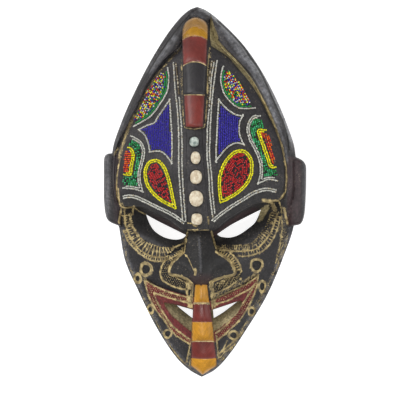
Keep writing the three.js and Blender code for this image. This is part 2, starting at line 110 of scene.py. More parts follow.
ROW_STEP = 1.2
BACK_STEP = 2.6
FOOT_ROUND = 1.6
FOOT_EDGE = 0.3
ON_FLOOR = 0.1
BEAD_RADIUS = 1.1
BEAD_PITCH = 2.35
BEAD_LENGTH = 1.75
BEAD_WOBBLE = 0.13

# The plan that grids of points have to cover, and how many distances are worked out at a time
PLAN_CORNERS = ((-122, -222), (122, 222))
PAIRS_AT_ONCE = 2_000_000

rng = np.random.default_rng(7)


# Curves

def through(points):
    """Smooth curve through points that never overshoots between them."""
    p = np.array(sorted(points), float)
    x, y = p[:, 0], p[:, 1]
    slope = np.diff(y) / np.diff(x)
    before, after = np.r_[slope[0], slope], np.r_[slope, slope[-1]]
    same = before * after > 0
    tangent = np.where(same, 2 * before * after / np.where(same, before + after, 1), 0)
    tangent[0], tangent[-1] = slope[0], slope[-1]

    def value(a):
        a = np.clip(a, x[0], x[-1])
        i = np.clip(np.searchsorted(x, a, side="right") - 1, 0, len(x) - 2)
        span, rise = x[i + 1] - x[i], y[i + 1] - y[i]
        t = (a - x[i]) / span
        a1, a2 = tangent[i] * span, tangent[i + 1] * span
        return y[i] + t * (a1 + t * (3 * rise - 2 * a1 - a2 + t * (a1 + a2 - 2 * rise)))

    return value


def mix(a, b, t):
    return a + (b - a) * t


def ease(low, high, a):
    t = np.clip((a - low) / (high - low), 0, 1)
    return t * t * (3 - 2 * t)


def dome(share, power):
    return 1 - (1 - np.clip(share, 0, 1)) ** power


def lengths(line):
    """How far along a line each of its points lies."""
    return np.r_[0, np.cumsum(np.hypot(*np.diff(line, axis=0).T))]


def at_lengths(line, at):
    """Places on a line, from how far along it they lie."""
    gone = lengths(line)
    return np.c_[np.interp(at, gone, line[:, 0]), np.interp(at, gone, line[:, 1])]


def even(line, step):
    """Points along a line at even steps, ends kept."""
    line = np.asarray(line, float)
    whole = lengths(line)[-1]
    count = max(1, int(round(whole / step)))
    return at_lengths(line, np.linspace(0, whole, count + 1))


def smooth(pairs):
    """Smooth line through points; two points make a straight one."""
    p = np.array(pairs, float)
    if len(p) == 2:
        return even(p, ROW_STEP)
    t = np.linspace(0, len(p) - 1, 24 * len(p))
    i = np.minimum(t.astype(int), len(p) - 2)
    w = (t - i)[:, None]
    p0, p1, p2, p3 = p[np.maximum(i - 1, 0)], p[i], p[i + 1], p[np.minimum(i + 2, len(p) - 1)]
    v0, v1 = (p2 - p0) / 2, (p3 - p1) / 2
    fine = ((2 * p1 - 2 * p2 + v0 + v1) * w + (-3 * p1 + 3 * p2 - 2 * v0 - v1)) * w * w + v0 * w + p1
    return even(fine, ROW_STEP)


def closed_up(line):
    """An outline whose first point is also its last."""
    return np.vstack([line, line[:1]])


def smooth_runs(runs):
    """Smooth runs of a closed outline; each ends in the corner where the next one starts."""
    return [smooth([*run, after[0]]) for run, after in zip(runs, runs[1:] + runs[:1])]


def joined(*runs):
    """Closed outline made of smooth runs that meet at corners."""
    return np.vstack([run[:-1] for run in smooth_runs(runs)])


def along(curve, start, end, step=ROW_STEP):
    """Points of a curve that gives x for y, from one y to another."""
    y = np.linspace(start, end, max(2, int(abs(end - start) / step) + 1))
    return np.c_[curve(y), y]


def measure(line, x, y, closed=False, reach=14.0):
    """Distance to a line, signed (inside above 0) if closed, and how far along it the nearest point lies."""
    line = np.asarray(line, float)
    far = np.full(len(x), -reach if closed else reach)
    place = np.zeros(len(x))
    low, high = line.min(0) - reach, line.max(0) + reach
    near = np.flatnonzero((x > low[0]) & (x < high[0]) & (y > low[1]) & (y < high[1]))
    a = line if closed else line[:-1]
    run = (np.roll(line, -1, 0) if closed else line[1:]) - a
    length = np.hypot(*run.T)
    start = np.r_[0, np.cumsum(length)[:-1]]
    for part in np.array_split(near, len(near) * len(a) // PAIRS_AT_ONCE + 1):
        dx = x[part][:, None] - a[:, 0]
        dy = y[part][:, None] - a[:, 1]
        t = np.clip((dx * run[:, 0] + dy * run[:, 1]) / np.maximum(length, 1e-9) ** 2, 0, 1)
        gap = np.hypot(dx - t * run[:, 0], dy - t * run[:, 1])
        best = gap.argmin(1)
        pick = np.arange(len(part))
        found = gap[pick, best]
        place[part] = start[best] + t[pick, best] * length[best]
        if closed:
            above = dy < 0
            with np.errstate(divide="ignore", invalid="ignore"):
                hit = a[:, 0] + run[:, 0] * dy / run[:, 1]
            crossed = (above != np.roll(above, -1, 1)) & (x[part][:, None] < hit)
            found = np.where(crossed.sum(1) % 2 == 1, found, -found)
        far[part] = found
    return (np.clip(far, -reach, None) if closed else far), place


def inside_of(outline, points):
    """How far inside an outline each point lies."""
    return measure(outline, points[:, 0], points[:, 1], True)[0]


def winding(outline):
    """1 for an outline that runs anticlockwise, -1 for one that runs clockwise."""
    after = np.roll(outline, -1, 0)
    return np.sign(np.sum(outline[:, 0] * after[:, 1] - after[:, 0] * outline[:, 1]))


def sideways(line, by, run):
    """A line moved to the left of the way it runs."""
    run = run / np.maximum(np.hypot(*run.T), 1e-9)[:, None]
    return line + by * np.c_[-run[:, 1], run[:, 0]]


def offset(line, by, closed=False):
    """The line moved sideways, inwards above 0 if closed, without the loops made by sharp corners."""
    line = np.asarray(line, float)
    if closed:
        moved = sideways(line, winding(line) * by, np.roll(line, -1, 0) - np.roll(line, 1, 0))
    else:
        moved = sideways(line, by, np.gradient(line, axis=0))
    gap = np.abs(measure(line, moved[:, 0], moved[:, 1], closed)[0])
    return moved[gap > abs(by) - 0.04 - 0.02 * abs(by)]


# Lines of the plan that run up the mask, x for a given y

left_edge = through([
    (-221.5, -4), (-213.5, -18), (-199, -33.5), (-163, -57.5), (-120, -79), (-77, -97),
    (-41, -103), (-13, -109.5), (20, -113), (50, -110.5), (82, -100.5), (125, -81.5),
    (168, -58.5), (204, -33.5), (218.5, -17.5), (221.5, -9.5),
])
right_edge = through([
    (-221.5, -4), (-213.5, 11), (-199, 25.5), (-163, 50.5), (-120, 76), (-77, 94),
    (-41, 106), (-13, 109.5), (20, 110), (50, 107.5), (82, 97.5), (125, 78.5),
    (168, 52), (204, 18.5), (218.5, -1), (221.5, -9.5),
])
centre = through([
    (-221.5, -4), (-183, -1.5), (-144, -3.5), (-81, -5.5), (-47, -8), (-10, -11),
    (62, -13), (160, -13), (221.5, -9.5),
])
hood_left = through([
    (-221.5, -4), (-199, -26), (-163, -50), (-120, -72), (-77, -90), (-45, -97),
    (-20, -103), (20, -105.5), (48, -104), (60, -99.5), (96, -81), (126, -67),
    (155, -47.5), (173, -28.5), (190, -22), (214, -14), (221.5, -9.6),
])
hood_right = through([
    (-221.5, -4), (-199, 18), (-163, 42), (-120, 67), (-77, 85), (-45, 92),
    (-12, 92), (14, 95.5), (37, 94.5), (65, 88), (89, 77.5), (134, 55.5),
    (158, 34), (171, 20.5), (180, 13.5), (194, 8.5), (214, 4), (221.5, -9.4),
])
brow_line = through([
    (-104.5, -6), (-101, -13), (-94, -16.5), (-75, -17.5), (-57, -25), (-41, -33.5),
    (-21.5, -45.8), (5.5, -45.8), (30, -30), (49, -19), (64, -13), (80, -11), (90, -9), (94, -3),
])

# Heights from the bottom point to the top point, z for a given y

rim_height = through([(-221.5, 14), (-120, 19), (0, 24), (120, 20), (221.5, 15)])
hood_height = through([(-40, 42), (20, 46), (90, 46), (150, 42), (200, 36), (221.5, 27)])
face_height = through([
    (-221.5, 20), (-200, 33), (-170, 45), (-140, 54), (-110, 61), (-80, 66), (-50, 68), (0, 68),
])
forehead_height = through([
    (-50, 91), (-20, 95), (20, 95), (60, 90), (100, 81), (140, 67), (180, 49), (214, 32),
])
forehead_edge = through([(-20, 47), (20, 48), (60, 46), (120, 42), (170, 35), (214, 27)])


# Surfaces, z for a given place

def side_of(x, y):
    """The mask's edge and the forehead's edge on the side where a place lies, and the middle line."""
    left = x < centre(y)
    edge = np.where(left, left_edge(y), right_edge(y))
    inner = np.where(left, hood_left(y), hood_right(y))
    return edge, inner, centre(y)


def share_of(x, start, end):
    """How far x has come from start to end."""
    gap = end - start
    return (x - start) / np.where(np.abs(gap) < 1e-6, 1e-6, gap)


def face(x, y):
    """The domed lower face."""
    edge, _, middle = side_of(x, y)
    return mix(rim_height(y), face_height(y), dome(share_of(x, edge, middle), 1.8))


def hood(x, y):
    """The sloping rim of the hood, highest at HOOD_TOP of its width and falling a little inwards."""
    edge, inner, _ = side_of(x, y)
    share = np.clip(share_of(x, edge, inner), 0, 1)
    rounded = np.sin(math.pi / 2 * np.minimum(1, share / HOOD_TOP))
    fall = np.maximum(0, (share - HOOD_TOP) / (1 - HOOD_TOP))
    return mix(rim_height(y), hood_height(y), rounded) - HOOD_FALL * fall * fall


def forehead(x, y):
    """The arched forehead between the hood's inner edges."""
    _, inner, middle = side_of(x, y)
    return mix(forehead_edge(y), forehead_height(y), dome(share_of(x, inner, middle), 1.6))


# Eye sockets: outer end, inner end, radius
SOCKETS = [((-84, -22), (-20, -57), 15), ((78, -16), (12, -57), 15)]


def socket(x, y):
    """How deep the eye sockets go below the face."""
    deep = np.zeros(len(x))
    for start, end, radius in SOCKETS:
        run = np.subtract(end, start)
        length = math.hypot(*run)
        far = ((x - start[0]) * run[0] + (y - start[1]) * run[1]) / length
        across = ((x - start[0]) * run[1] - (y - start[1]) * run[0]) / length
        past = np.maximum(0, np.maximum(-far, far - length))
        deep = np.maximum(deep, np.exp(-((across / radius) ** 2) - (past / 9) ** 2))
    return SOCKET_DEPTH * deep


def carved(x, y):
    """Hood and lower face in one, with the underside of the brow above the eyes."""
    low = face(x, y) - socket(x, y)
    below = brow_line(x) - y
    over_eye = ease(-88, -66, x) * (1 - ease(62, 82, x))
    slope = 1 - ease(0, BROW_SLOPE_WIDTH, below)
    brow = mix(low, np.maximum(low, forehead(x, y) - BROW_DROP), slope * over_eye)
    return mix(brow, hood(x, y), ease(-40, 5, y) * np.where(below > 0, 1 - over_eye, 1))


mouth_low = through([
    (-50, -131), (-47, -139), (-40.5, -147.5), (-31, -156), (-13, -169.5), (7, -170),
    (28, -155), (37.5, -146.5), (43, -137.5), (46, -128),
])
mouth_high = through([(-49, -131), (-33, -134.5), (-13, -140.5), (7, -141), (28, -134), (45, -128)])


def mouth_floor(x, y):
    """The slope inside the lips, which falls from the lower lip upwards."""
    return face(x, y) + LIP_RAISE - MOUTH_SLOPE * (y - mouth_low(x))


def skin(x, y):
    """The front without its small parts, which the hollow behind it follows."""
    in_forehead = (y > brow_line(x)) & (x > hood_left(y)) & (x < hood_right(y))
    plain = np.where(in_forehead, forehead(x, y), carved(x, y))
    in_mouth = np.minimum.reduce([y - mouth_low(x), mouth_high(x) - y, x + 50, 46 - x])
    return mix(plain, np.minimum(face(x, y), mouth_floor(x, y)), ease(-MOUTH_BLEND, 0, in_mouth))


def cavity(x, y):
    """Inside of the mask: a smooth vault that keeps the wall thickness."""
    low = skin(x, y)
    for angle in np.arange(8) * math.pi / 4:
        low = np.minimum(low, skin(x + WALL_REACH * math.cos(angle), y + WALL_REACH * math.sin(angle)))
    edge, _, middle = side_of(x, y)
    start = edge + np.sign(middle - edge) * RIM_WIDTH
    vault = mix(CAVITY_FOOT, CAVITY_HEIGHT, dome(share_of(x, start, middle), 1.7))
    return np.minimum(low - WALL, vault)


# Nose

nose_ridge = through([(-112, 70), (-105, 88), (-97, 99.5), (-80, 96), (-60, 87), (-46, 80)])
nose_left = through([
    (-111, -13), (-106, -20), (-99.5, -36), (-96, -44), (-87, -41), (-80, -33),
    (-74, -24.5), (-63, -21.5), (-45, -19),
])
nose_right = through([
    (-111, 3), (-106, 9), (-99.5, 30), (-96, 35.5), (-84, 29), (-78, 22),
    (-68, 11.5), (-60, 8.5), (-45, 5),
])
bridge_half = through([(-112, 6), (-97, 7), (-74, 17), (-45, 13)])


def nose(x, y):
    """The nose: a bridge with a round ridge, and wings that fall to the face."""
    left = x < centre(y)
    off = np.abs(x - centre(y))
    half = np.where(left, centre(y) - nose_left(y), nose_right(y) - centre(y))
    foot = face(x, y) + 3 + 4 * ease(-70, -90, y)
    wing = mix(nose_ridge(y) - 12, foot, np.clip(off / np.maximum(half, 0.1), 0, 1))
    bridge = nose_ridge(y) - 8 * (off / bridge_half(y)) ** 1.5
    return np.maximum(wing, bridge)


NOSE = np.vstack([along(nose_right, -111, -44), along(nose_left, -44, -111)])

# Eyes and mouth

EYES = [
    joined(
        [(-70.5, -27), (-57, -34.5), (-43, -41.5)],
        [(-22.5, -51.5), (-27, -55.5), (-36, -57), (-48, -54.5), (-59.5, -47.5), (-66, -38.5)],
    ),
    joined(
        [(14.5, -50.5), (31, -39.5), (50, -29.5)],
        [(67, -21), (60.5, -35.5), (52, -43.5), (41, -51), (30, -54.5), (19, -53.5)],
    ),
]
MOUTH_HOLES = [
    joined([(-34, -135.5), (-28.5, -140.5), (-21, -146.5)], [(-15, -151)],
           [(-14.5, -141)]),
    joined([(39, -131)], [(9.5, -141)],
           [(10.5, -151), (20.5, -145), (28, -139.5)]),
]
MOUTHS = [
    joined([(-49.5, -131.5), (-47, -139), (-40.5, -147.5), (-31, -156), (-21, -164.5)],
           [(-13, -169.5)],
           [(-13, -140.5), (-33.5, -134.5)]),
    joined([(45, -129), (28, -134)], [(7, -141)],
           [(7, -170), (18, -163.5), (28, -155), (37.5, -146.5), (43, -137.5)]),
]
LIPS = [
    joined([(-72, -105), (-59, -112), (-43, -117.5), (-23, -123.5)], [(-8, -127)],
           [(-8, -189), (-21, -181), (-34.5, -167), (-47, -155), (-59, -139), (-67, -122)]),
    joined([(63.5, -99.5), (59.5, -117), (51, -134), (37.5, -152.5), (25.5, -167)],
           [(3, -187)], [(3, -130), (11.5, -128.5), (28, -122), (45, -113)]),
]


def hex_grid(step, low, high):
    """Points in rows, each row half a step along from the one before."""
    points = []
    for i, y in enumerate(np.arange(low[1], high[1], step * 0.866)):
        x = np.arange(low[0] + (i % 2) * step / 2, high[0], step)
        points.append(np.c_[x, np.full(len(x), y)])
    return np.vstack(points)


# Shine of each part, from 0 for dull to 1
GLOSS = {
    "plain": 0.62, "forehead": 0.5, "nose": 0.36, "lips": 0.3, "ears": 0.6, "bars": 0.72, "flanks": 0.15,
    "punched": 0.2, "rim": 0.4, "edge": 0.1, "scoop": 0.1, "mouth": 0.1, "sockets": 0.0, "rings": 0.3,
    "back": 0.35,
}

# Colours, as the render mixes them

BLACK = (0.021, 0.019, 0.021)
COAL = (0.013, 0.012, 0.012)
RED = (0.140, 0.022, 0.017)
OCHRE = (0.33, 0.160, 0.006)
YELLOW = (0.47, 0.215, 0.014)
TAN = (0.27, 0.145, 0.040)
LIP_RED = (0.115, 0.016, 0.016)
OLIVE = (0.27, 0.225, 0.125)
SCOOP_OLIVE = (0.27, 0.222, 0.114)
REDDISH = (0.040, 0.012, 0.014)
EAR_BROWN = (0.040, 0.022, 0.024)
BACK_BROWN = (0.075, 0.045, 0.026)
# Grey of handling wear, also used for painted sheen and painted highlights
WEAR_AND_SHEEN_GREY = (0.125, 0.125, 0.135)
# Grey of a painted highlight along the upper right edge
RIM_SHEEN_GREY = (0.20, 0.20, 0.208)

# Incised lines rubbed with beige, drawn as a carver would cut them

LEFT_LID = {
    "outer": [(-97.5, -46.5), (-94, -55.5), (-89, -63), (-82.5, -69.5), (-74.5, -76), (-67, -80.5),
              (-58, -83), (-49.5, -82.5), (-45, -80)],
    "middle": [(-96.5, -21.5), (-96, -30), (-95, -40), (-92, -48), (-88, -57.5), (-82.5, -64.5),
               (-78, -69.5), (-70.5, -74), (-63.5, -77), (-55, -78), (-46.5, -77), (-34, -70), (-25, -64.5)],
    "inner": [(-93.5, -28), (-89.5, -39), (-85.5, -46.5), (-80.5, -51.5), (-74.5, -57.5), (-67, -62),
              (-59.5, -64.5), (-52, -66), (-41, -67)],
}
RIGHT_LID = {
    "outer": [(89.5, -30.5), (88, -40), (84, -51), (78.5, -61), (71.5, -68.5), (64, -73), (56, -75.5),
              (46.5, -77), (40, -76)],
    "middle": [(87, -25), (83.5, -36), (79.5, -46.5), (74, -55.5), (67.5, -63), (60.5, -68.5), (52, -70),
               (41, -71), (30, -70.5), (19, -69.5)],
    "inner": [(78.5, -25), (74, -40), (67, -50), (59.5, -58.5), (52, -63), (41, -64), (28, -64.5),
              (19, -64)],
}
LEFT_WING = {
    "bridge": [(-20.5, -49), (-23, -57.5), (-24, -68.5), (-25.5, -73)],
    "inner": [(-25.5, -71.5), (-31.5, -77.2), (-37.8, -83.3), (-42, -90), (-43, -96.5), (-39.5, -99.2),
              (-33.5, -99.7), (-26, -102), (-19.8, -105.8), (-15, -110.5)],
    "outer": [(-44.5, -78.5), (-48, -82.5), (-51.5, -88), (-53.5, -97), (-52, -102.5), (-49, -107),
              (-37.5, -113), (-28.5, -115.5), (-22, -116.5)],
}
RIGHT_WING = {
    "bridge": [(7, -48), (9.2, -55), (10.9, -62), (13.4, -70), (14, -74)],
    "inner": [(13.5, -71), (20, -75.2), (28, -81), (33, -87.7), (35.8, -95), (35, -98), (29.5, -100.3),
              (20.6, -102.4), (12, -105), (6, -108.5)],
    "upper": [(30, -72.8), (36.2, -78.6), (40.5, -85.5), (42.7, -91), (43.5, -95)],
    "lower": [(42.5, -103.5), (30, -112.5), (19, -118), (11.5, -122)],
}
LEFT_LIP = {
    "outer": [(-48.5, -153.5), (-54, -147.5), (-61.5, -136.5), (-67, -125.5), (-70.5, -113.5),
              (-72.3, -104.6)],
    "top": [(-72.3, -104.6), (-61.5, -111.5), (-49.5, -117), (-38.5, -121), (-22, -125.5)],
    "low": [(-48.5, -153.5), (-38.5, -168.5), (-28.5, -175.5), (-19, -182)],
    "inner_top": [(-61.5, -120.5), (-52, -123.5), (-43, -126.5), (-29.5, -130), (-16, -133)],
    "inner": [(-61.5, -120.5), (-58.5, -129), (-54, -138), (-48, -147.5), (-38.5, -160), (-26, -171),
              (-16.5, -177)],
}
RIGHT_LIP = {
    "outer": [(63.3, -99.8), (62, -113.5), (56, -129), (50, -140), (41, -153.5), (25.5, -168.5), (14, -178)],
    "top": [(63.3, -99.8), (60.5, -102.5), (46.5, -111.5), (28, -120), (11.5, -128)],
    "inner_top": [(60.5, -109), (54, -115.5), (41, -122.5), (26.5, -130), (11, -133.5)],
    "inner": [(60.5, -109), (55, -118), (45, -133.5), (34, -147.5), (24, -160), (13.5, -168.5)],
}

# Each line: width, depth, how full of beige it is, points
CUT_LINES = [
    (1.5, 0.7, 0.95, LEFT_LID["outer"]),
    (1.5, 0.7, 0.95, LEFT_LID["middle"]),
    (1.0, 0.5, 0.5, LEFT_LID["inner"]),
    (1.4, 0.7, 0.95, RIGHT_LID["outer"]),
    (1.3, 0.7, 0.85, RIGHT_LID["middle"]),
    (1.1, 0.6, 0.5, RIGHT_LID["inner"]),
    (2.9, 1.0, 1.0, LEFT_WING["bridge"]),
    (1.6, 0.8, 0.95, LEFT_WING["outer"]),
    (3.2, 1.0, 1.0, RIGHT_WING["bridge"]),
    (1.6, 0.8, 1.0, RIGHT_WING["upper"]),
    (1.5, 0.8, 0.9, RIGHT_WING["lower"]),
    (1.4, 0.6, 0.95, [(-41, -68.5), (-34, -65), (-24, -61)]),
    (1.5, 0.6, 0.95, [(-46, -81), (-37.5, -77.5), (-30, -72.5), (-24, -68)]),
    (1.4, 0.6, 0.95, [(-22, -107), (-22, -118), (-21, -129)]),
    (1.6, 0.6, 0.9, [(-15, -111), (-15.3, -125.5), (-16, -138)]),
    (3.0, 0.6, 0.82, [(5.4, -107.5), (7.9, -121), (9.9, -139.8)]),
    (1.4, 0.5, 0.95, LEFT_LIP["outer"]),
    (1.4, 0.5, 0.9, LEFT_LIP["top"]),
    (1.5, 0.5, 0.8, LEFT_LIP["low"]),
    (1.5, 0.5, 0.95, LEFT_LIP["inner_top"]),
    (1.3, 0.5, 0.9, LEFT_LIP["inner"]),
    (1.4, 0.5, 1.0, RIGHT_LIP["outer"]),
    (1.4, 0.5, 0.95, RIGHT_LIP["top"]),
    (1.5, 0.5, 0.95, RIGHT_LIP["inner_top"]),
    (1.4, 0.5, 0.9, RIGHT_LIP["inner"]),
    (1.3, 0.5, 0.95, [(-103.5, 4), (-102.6, -9.5), (-101.5, -15), (-98.5, -18.5), (-92.5, -19),
                     (-85.5, -17.5)]),
    (1.0, 0.4, 0.7, [(-85.5, -17.5), (-78, -23.5), (-70.5, -27)]),
    (1.2, 0.5, 0.9, [(-86, -19.5), (-86.3, -27)]),
    (1.8, 0.5, 0.95, [(-100, -21), (-101.8, -29), (-102.8, -37)]),
    (1.6, 0.5, 0.95, [(71, -11.5), (79.5, -10.5), (88, -10.5)]),
    (1.0, 0.5, 0.66, [(89, -12.5), (91, -21.5), (92, -37), (91.5, -51), (89, -68.5), (84.5, -85)]),
    (0.9, 0.4, 0.55, [(88, -35.5), (89.8, -46.5), (89.5, -61), (86, -75.5)]),
    (2.2, 0.6, 0.95, [(95, -20), (96.5, -29), (98.5, -37)]),
    (1.0, 0.4, 0.5, [(98.5, -53.5), (95, -68.5), (88.5, -85), (80, -102.5), (66, -127)]),
    (1.2, 0.5, 0.85, [(-17, -178), (-19.5, -190.5), (-22, -203)]),
    (1.2, 0.5, 0.8, [(-15.7, -179.5), (-16.4, -191.5), (-18.5, -208)]),
    (1.2, 0.5, 0.75, [(-42.5, -183.5), (-33.5, -195.5), (-24.5, -205.5)]),
    (1.4, 0.5, 0.9, [(14, -196), (26, -186), (39, -176), (46, -166)]),
    (1.2, 0.5, 0.7, [(15, -200), (27, -190.5), (37, -181)]),
    (1.0, 0.4, 0.62, [(62, -146), (51, -163), (36, -184), (20, -202)]),
    (1.2, 0.5, 0.85, [(18, -193), (23, -185.5), (26.5, -178)]),
    (1.6, 0.5, 0.9, [(13.6, -172), (15, -186.5), (16.5, -199)]),
    (1.2, 0.5, 0.55, [(-28.2, 158), (-27.6, 140), (-27.0, 112), (-25.0, 80), (-20, 76)]),
    (1.3, 0.5, 0.7, [(5.6, 172), (3.6, 150), (2.4, 112), (-0.3, 80), (-5, 76)]),
    (1.1, 0.4, 0.7, [(-22.5, 76.0), (-13, 74.8), (-3.5, 76.0)]),
    (1.4, 0.6, 0.78, [(-101.5, 40), (-103.9, 27), (-105.3, 14), (-105.3, -2), (-103.7, -8.6)]),
    (1.7, 0.4, 0.8, [(52, 138), (64.6, 117.8), (73, 101.9), (80.8, 85), (86.8, 69), (91.8, 55), (94.8, 39),
                     (97.2, 22), (96, 2), (89.5, -9)]),
    (1.0, 0.4, 0.8, [(-20.5, -37.5), (-14, -37.8), (-8.5, -39.5)]),
    (2.0, 0.5, 1.05, [(-14, -38.5), (-11, -40.5)]),
    (1.3, 0.5, 0.6, [(3.6, -30), (4.3, -38)]),
]
NOSE_LINES = [
    (3.1, 0.8, 1.0, LEFT_WING["inner"]),
    (3.2, 0.8, 1.05, RIGHT_WING["inner"]),
    (0.9, 0.5, 0.95, [(-23.5, -75), (-20, -79), (-16, -88), (-12, -96)]),
    (2.4, 0.8, 1.0, [(-12, -91.5), (-11, -94.5), (-12, -99)]),
    (0.8, 0.4, 0.7, [(-21, -45.6), (-13.5, -45.2), (-4, -45.6), (5, -45.4)]),
    (2.0, 0.5, 1.1, [(-12.6, -45.6), (-9.6, -45.6)]),
]

# Soft smears of beige: width, how full, points
SMEARS = [
    (7.0, 0.46, [(-30, 172), (-47, 152), (-60, 136), (-72, 116), (-83, 93), (-92, 74), (-98, 57)]),
    (7.5, 0.58, [(-84, 92), (-90, 80), (-95, 66), (-99.5, 52), (-102.5, 40)]),
    (8.0, 0.42, [(5, 172), (5, 145), (4, 115), (2, 86)]),
    (6.0, 0.38, [(-30, 150), (-29, 120), (-27, 90)]),
    (6.0, 0.34, [(10, 172), (28, 158), (44, 140), (58, 118)]),
    (4.0, 0.63, [(-99.5, -14), (-97, -18)]),
    (4.0, 0.63, [(-84, -16), (-87, -24)]),
    (9.0, 0.68, [(70, -10), (79, -13), (84, -22)]),
    (9.0, 0.74, [(-18.5, -111), (-18.5, -122), (-18, -136)]),
    (8.0, 0.68, [(7, -108), (9, -120), (11, -136)]),
    (5.0, 0.57, [(9, -112), (20, -107), (30, -103)]),
    (6.0, 0.7, [(-90, -27), (-87.5, -40), (-80, -52)]),
    (6.0, 0.42, [(84, -28), (79, -40), (70, -53), (58, -64), (40, -67), (22, -67)]),
    (4.5, 0.59, [(-52, -145), (-42, -158), (-30, -168), (-19, -176)]),
    (11.0, 0.44, [(96, -34), (95, -62), (89, -84), (80, -102), (68, -124), (56, -146)]),
    (5.0, 0.55, [(50, -156), (36, -176), (22, -194)]),
    (4.5, 0.57, [(-104, 52), (-108.5, 44)]),
    (3.0, 0.61, [(-19, -110), (-34, -103)]),
    (8.0, 0.45, [(-80, -55), (-70, -66), (-60, -70.5), (-48, -72), (-38, -70)]),
    (8.0, 0.58, [(14, -66), (22, -68), (30, -70)]),
    (7.0, 0.5, [(22, -77), (29, -84), (34, -94)]),
    (6.0, 0.52, [(12, -125), (30, -115), (46, -107), (60, -98)]),
]

# Dark cuts without beige, painted coal as painted shade in the grooves: width, depth, points
DARK_CUTS = [
    (1.9, 1.5, [(15, 204.5), (28.3, 192.4), (44.2, 175.5), (54.2, 160.6), (64.1, 146.6), (74.1, 126.7),
                (80, 112.8), (88, 94.9), (95.9, 75), (99.9, 50.2)]),
    (1.2, 0.7, [(-19, 211), (-38, 188), (-60, 156), (-80, 118), (-97, 78), (-104.5, 56)]),
    (2.0, 1.0, [(-18.6, -118.5), (-18.8, -122.5)]),
    (2.2, 0.7, [(-31, -66.2), (-25, -64.3)]),
    (2.0, 0.7, [(-38, -71.5), (-29, -67.5)]),
    (2.2, 0.7, [(-43, -74.5), (-38, -73)]),
]

# Places greyed by handling wear and by painted sheen: width, how much, points
GREY_STREAKS_AND_SHEEN = [
    (13.0, 0.9, [(-37, 184), (-46, 172), (-57, 157), (-66, 144)]),
    (15.0, 1.6, [(22, 194), (34.7, 178.9), (44.5, 163.9), (55.1, 152.2), (62, 138), (72, 117), (79, 100),
                  (87, 76)]),
    (7.0, 0.5, [(-90, 100), (-99, 78), (-105, 58)]),
    (10.0, 0.5, [(-20, 208), (-10, 214), (-2, 208)]),
    (7.0, 0.9, [(88.5, 76), (92.5, 62), (96, 48), (98.5, 34)]),
    (6.0, 0.55, [(-44, 200), (-66, 172), (-86, 140), (-101, 108)]),
    (8.0, 0.9, [(-99, -60), (-93, -80), (-85, -100)]),
]

# The pale hollow at the outer corner of the right eye
CORNER = [(67, -20), (75.7, -15.4), (75.5, -21.5), (70, -31.8), (62.7, -36.5), (63.5, -29.5)]


def near_on(line, points):
    """The place of each point on a line, as points of that line."""
    _, place = measure(line, points[:, 0], points[:, 1], reach=60)
    return at_lengths(line, place)


def rungs(first, second, pitch, start, end, shake):
    """Short cuts from one line across to another, between two shares of the first line."""
    a = even(smooth(first), pitch)
    a = a[int(len(a) * start):int(math.ceil(len(a) * end))]
    return list(zip(a, near_on(smooth(second), a) + rng.normal(0, shake, (len(a), 2))))


# Where the short cuts round the nose wings begin
WING_ROOTS = [
    [(14, -70), (22, -72.5), (31, -77), (38, -85), (42, -92)],
    [(-44, -79.5), (-37.5, -76), (-30, -71), (-25, -66)],
]

# Rows of short cuts: width, depth, how full, the two lines, pitch, start, end, shake
HATCHES = [
    (width, depth, full, ends)
    for width, depth, full, *row in [
        (1.2, 0.6, 0.9, LEFT_LID["inner"], LEFT_LID["middle"], 3.2, 0.44, 1.0, 0.35),
        (1.0, 0.6, 0.7, LEFT_LID["inner"], LEFT_LID["middle"], 2.9, 0.0, 0.42, 1.1),
        (0.8, 0.5, 0.95, LEFT_LID["outer"], LEFT_LID["middle"], 3.1, 0.05, 0.95, 0.2),
        (0.9, 0.5, 0.62, RIGHT_LID["inner"], RIGHT_LID["middle"], 2.7, 0.0, 0.95, 1.1),
        (0.8, 0.5, 0.66, RIGHT_LID["middle"], RIGHT_LID["outer"], 3.2, 0.05, 0.72, 0.8),
        (1.0, 0.5, 0.9, WING_ROOTS[0], RIGHT_WING["inner"], 3.0, 0.0, 0.95, 0.4),
        (1.0, 0.5, 0.9, WING_ROOTS[1], LEFT_WING["inner"], 2.8, 0.1, 0.95, 0.3),
    ]
    for ends in rungs(*row)
]


# Outlines of the punched fields
LEFT_WING_FIELD = joined(
    [(-43.5, -80), (-51, -88), (-52.5, -97), (-51, -102.5), (-48, -106), (-37, -112)],
    [(-22, -115.5)],
    [(-22, -105.5), (-30, -101.8), (-44.5, -99.5), (-45, -94), (-42, -87)],
)
RIGHT_WING_FIELD = joined(
    [(24, -74), (31.5, -77), (36.5, -84), (41.5, -92), (43, -98)],
    [(41, -103), (29, -111.5)],
    [(12, -120), (12, -112), (22, -105), (38.5, -99), (37, -93), (33, -86)],
)
LEFT_LIP_FIELD = joined(
    [(-71, -107), (-61.5, -112.5), (-49.5, -118)],
    [(-22, -126.5)],
    [(-19, -131), (-43, -125.5), (-61.8, -119.5), (-59.8, -128), (-49, -147.5), (-38.5, -161)],
    [(-17, -178)],
    [(-19.5, -181), (-38, -167.5), (-54, -146.5), (-66, -125.5)],
)
RIGHT_LIP_FIELD = joined(
    [(62, -101.5), (46.5, -112.5), (28, -121.5)],
    [(12, -128.5)],
    [(12, -132.5), (41, -121.5), (60, -108), (55, -119), (34.5, -148.5)],
    [(14, -169.5)],
    [(14, -177), (40.5, -152.5), (55.5, -128), (61.5, -113.5)],
)

# Punched fields: outline, pitch, paint, beige between the dots, beige in the dots
PUNCHED = [
    (LEFT_WING_FIELD, 2.5, COAL, 0.27, 0.7),
    (RIGHT_WING_FIELD, 2.5, COAL, 0.4, 0.74),
    (LEFT_LIP_FIELD, 2.6, LIP_RED, 0.32, 0.82),
    (RIGHT_LIP_FIELD, 2.6, LIP_RED, 0.24, 0.82),
]

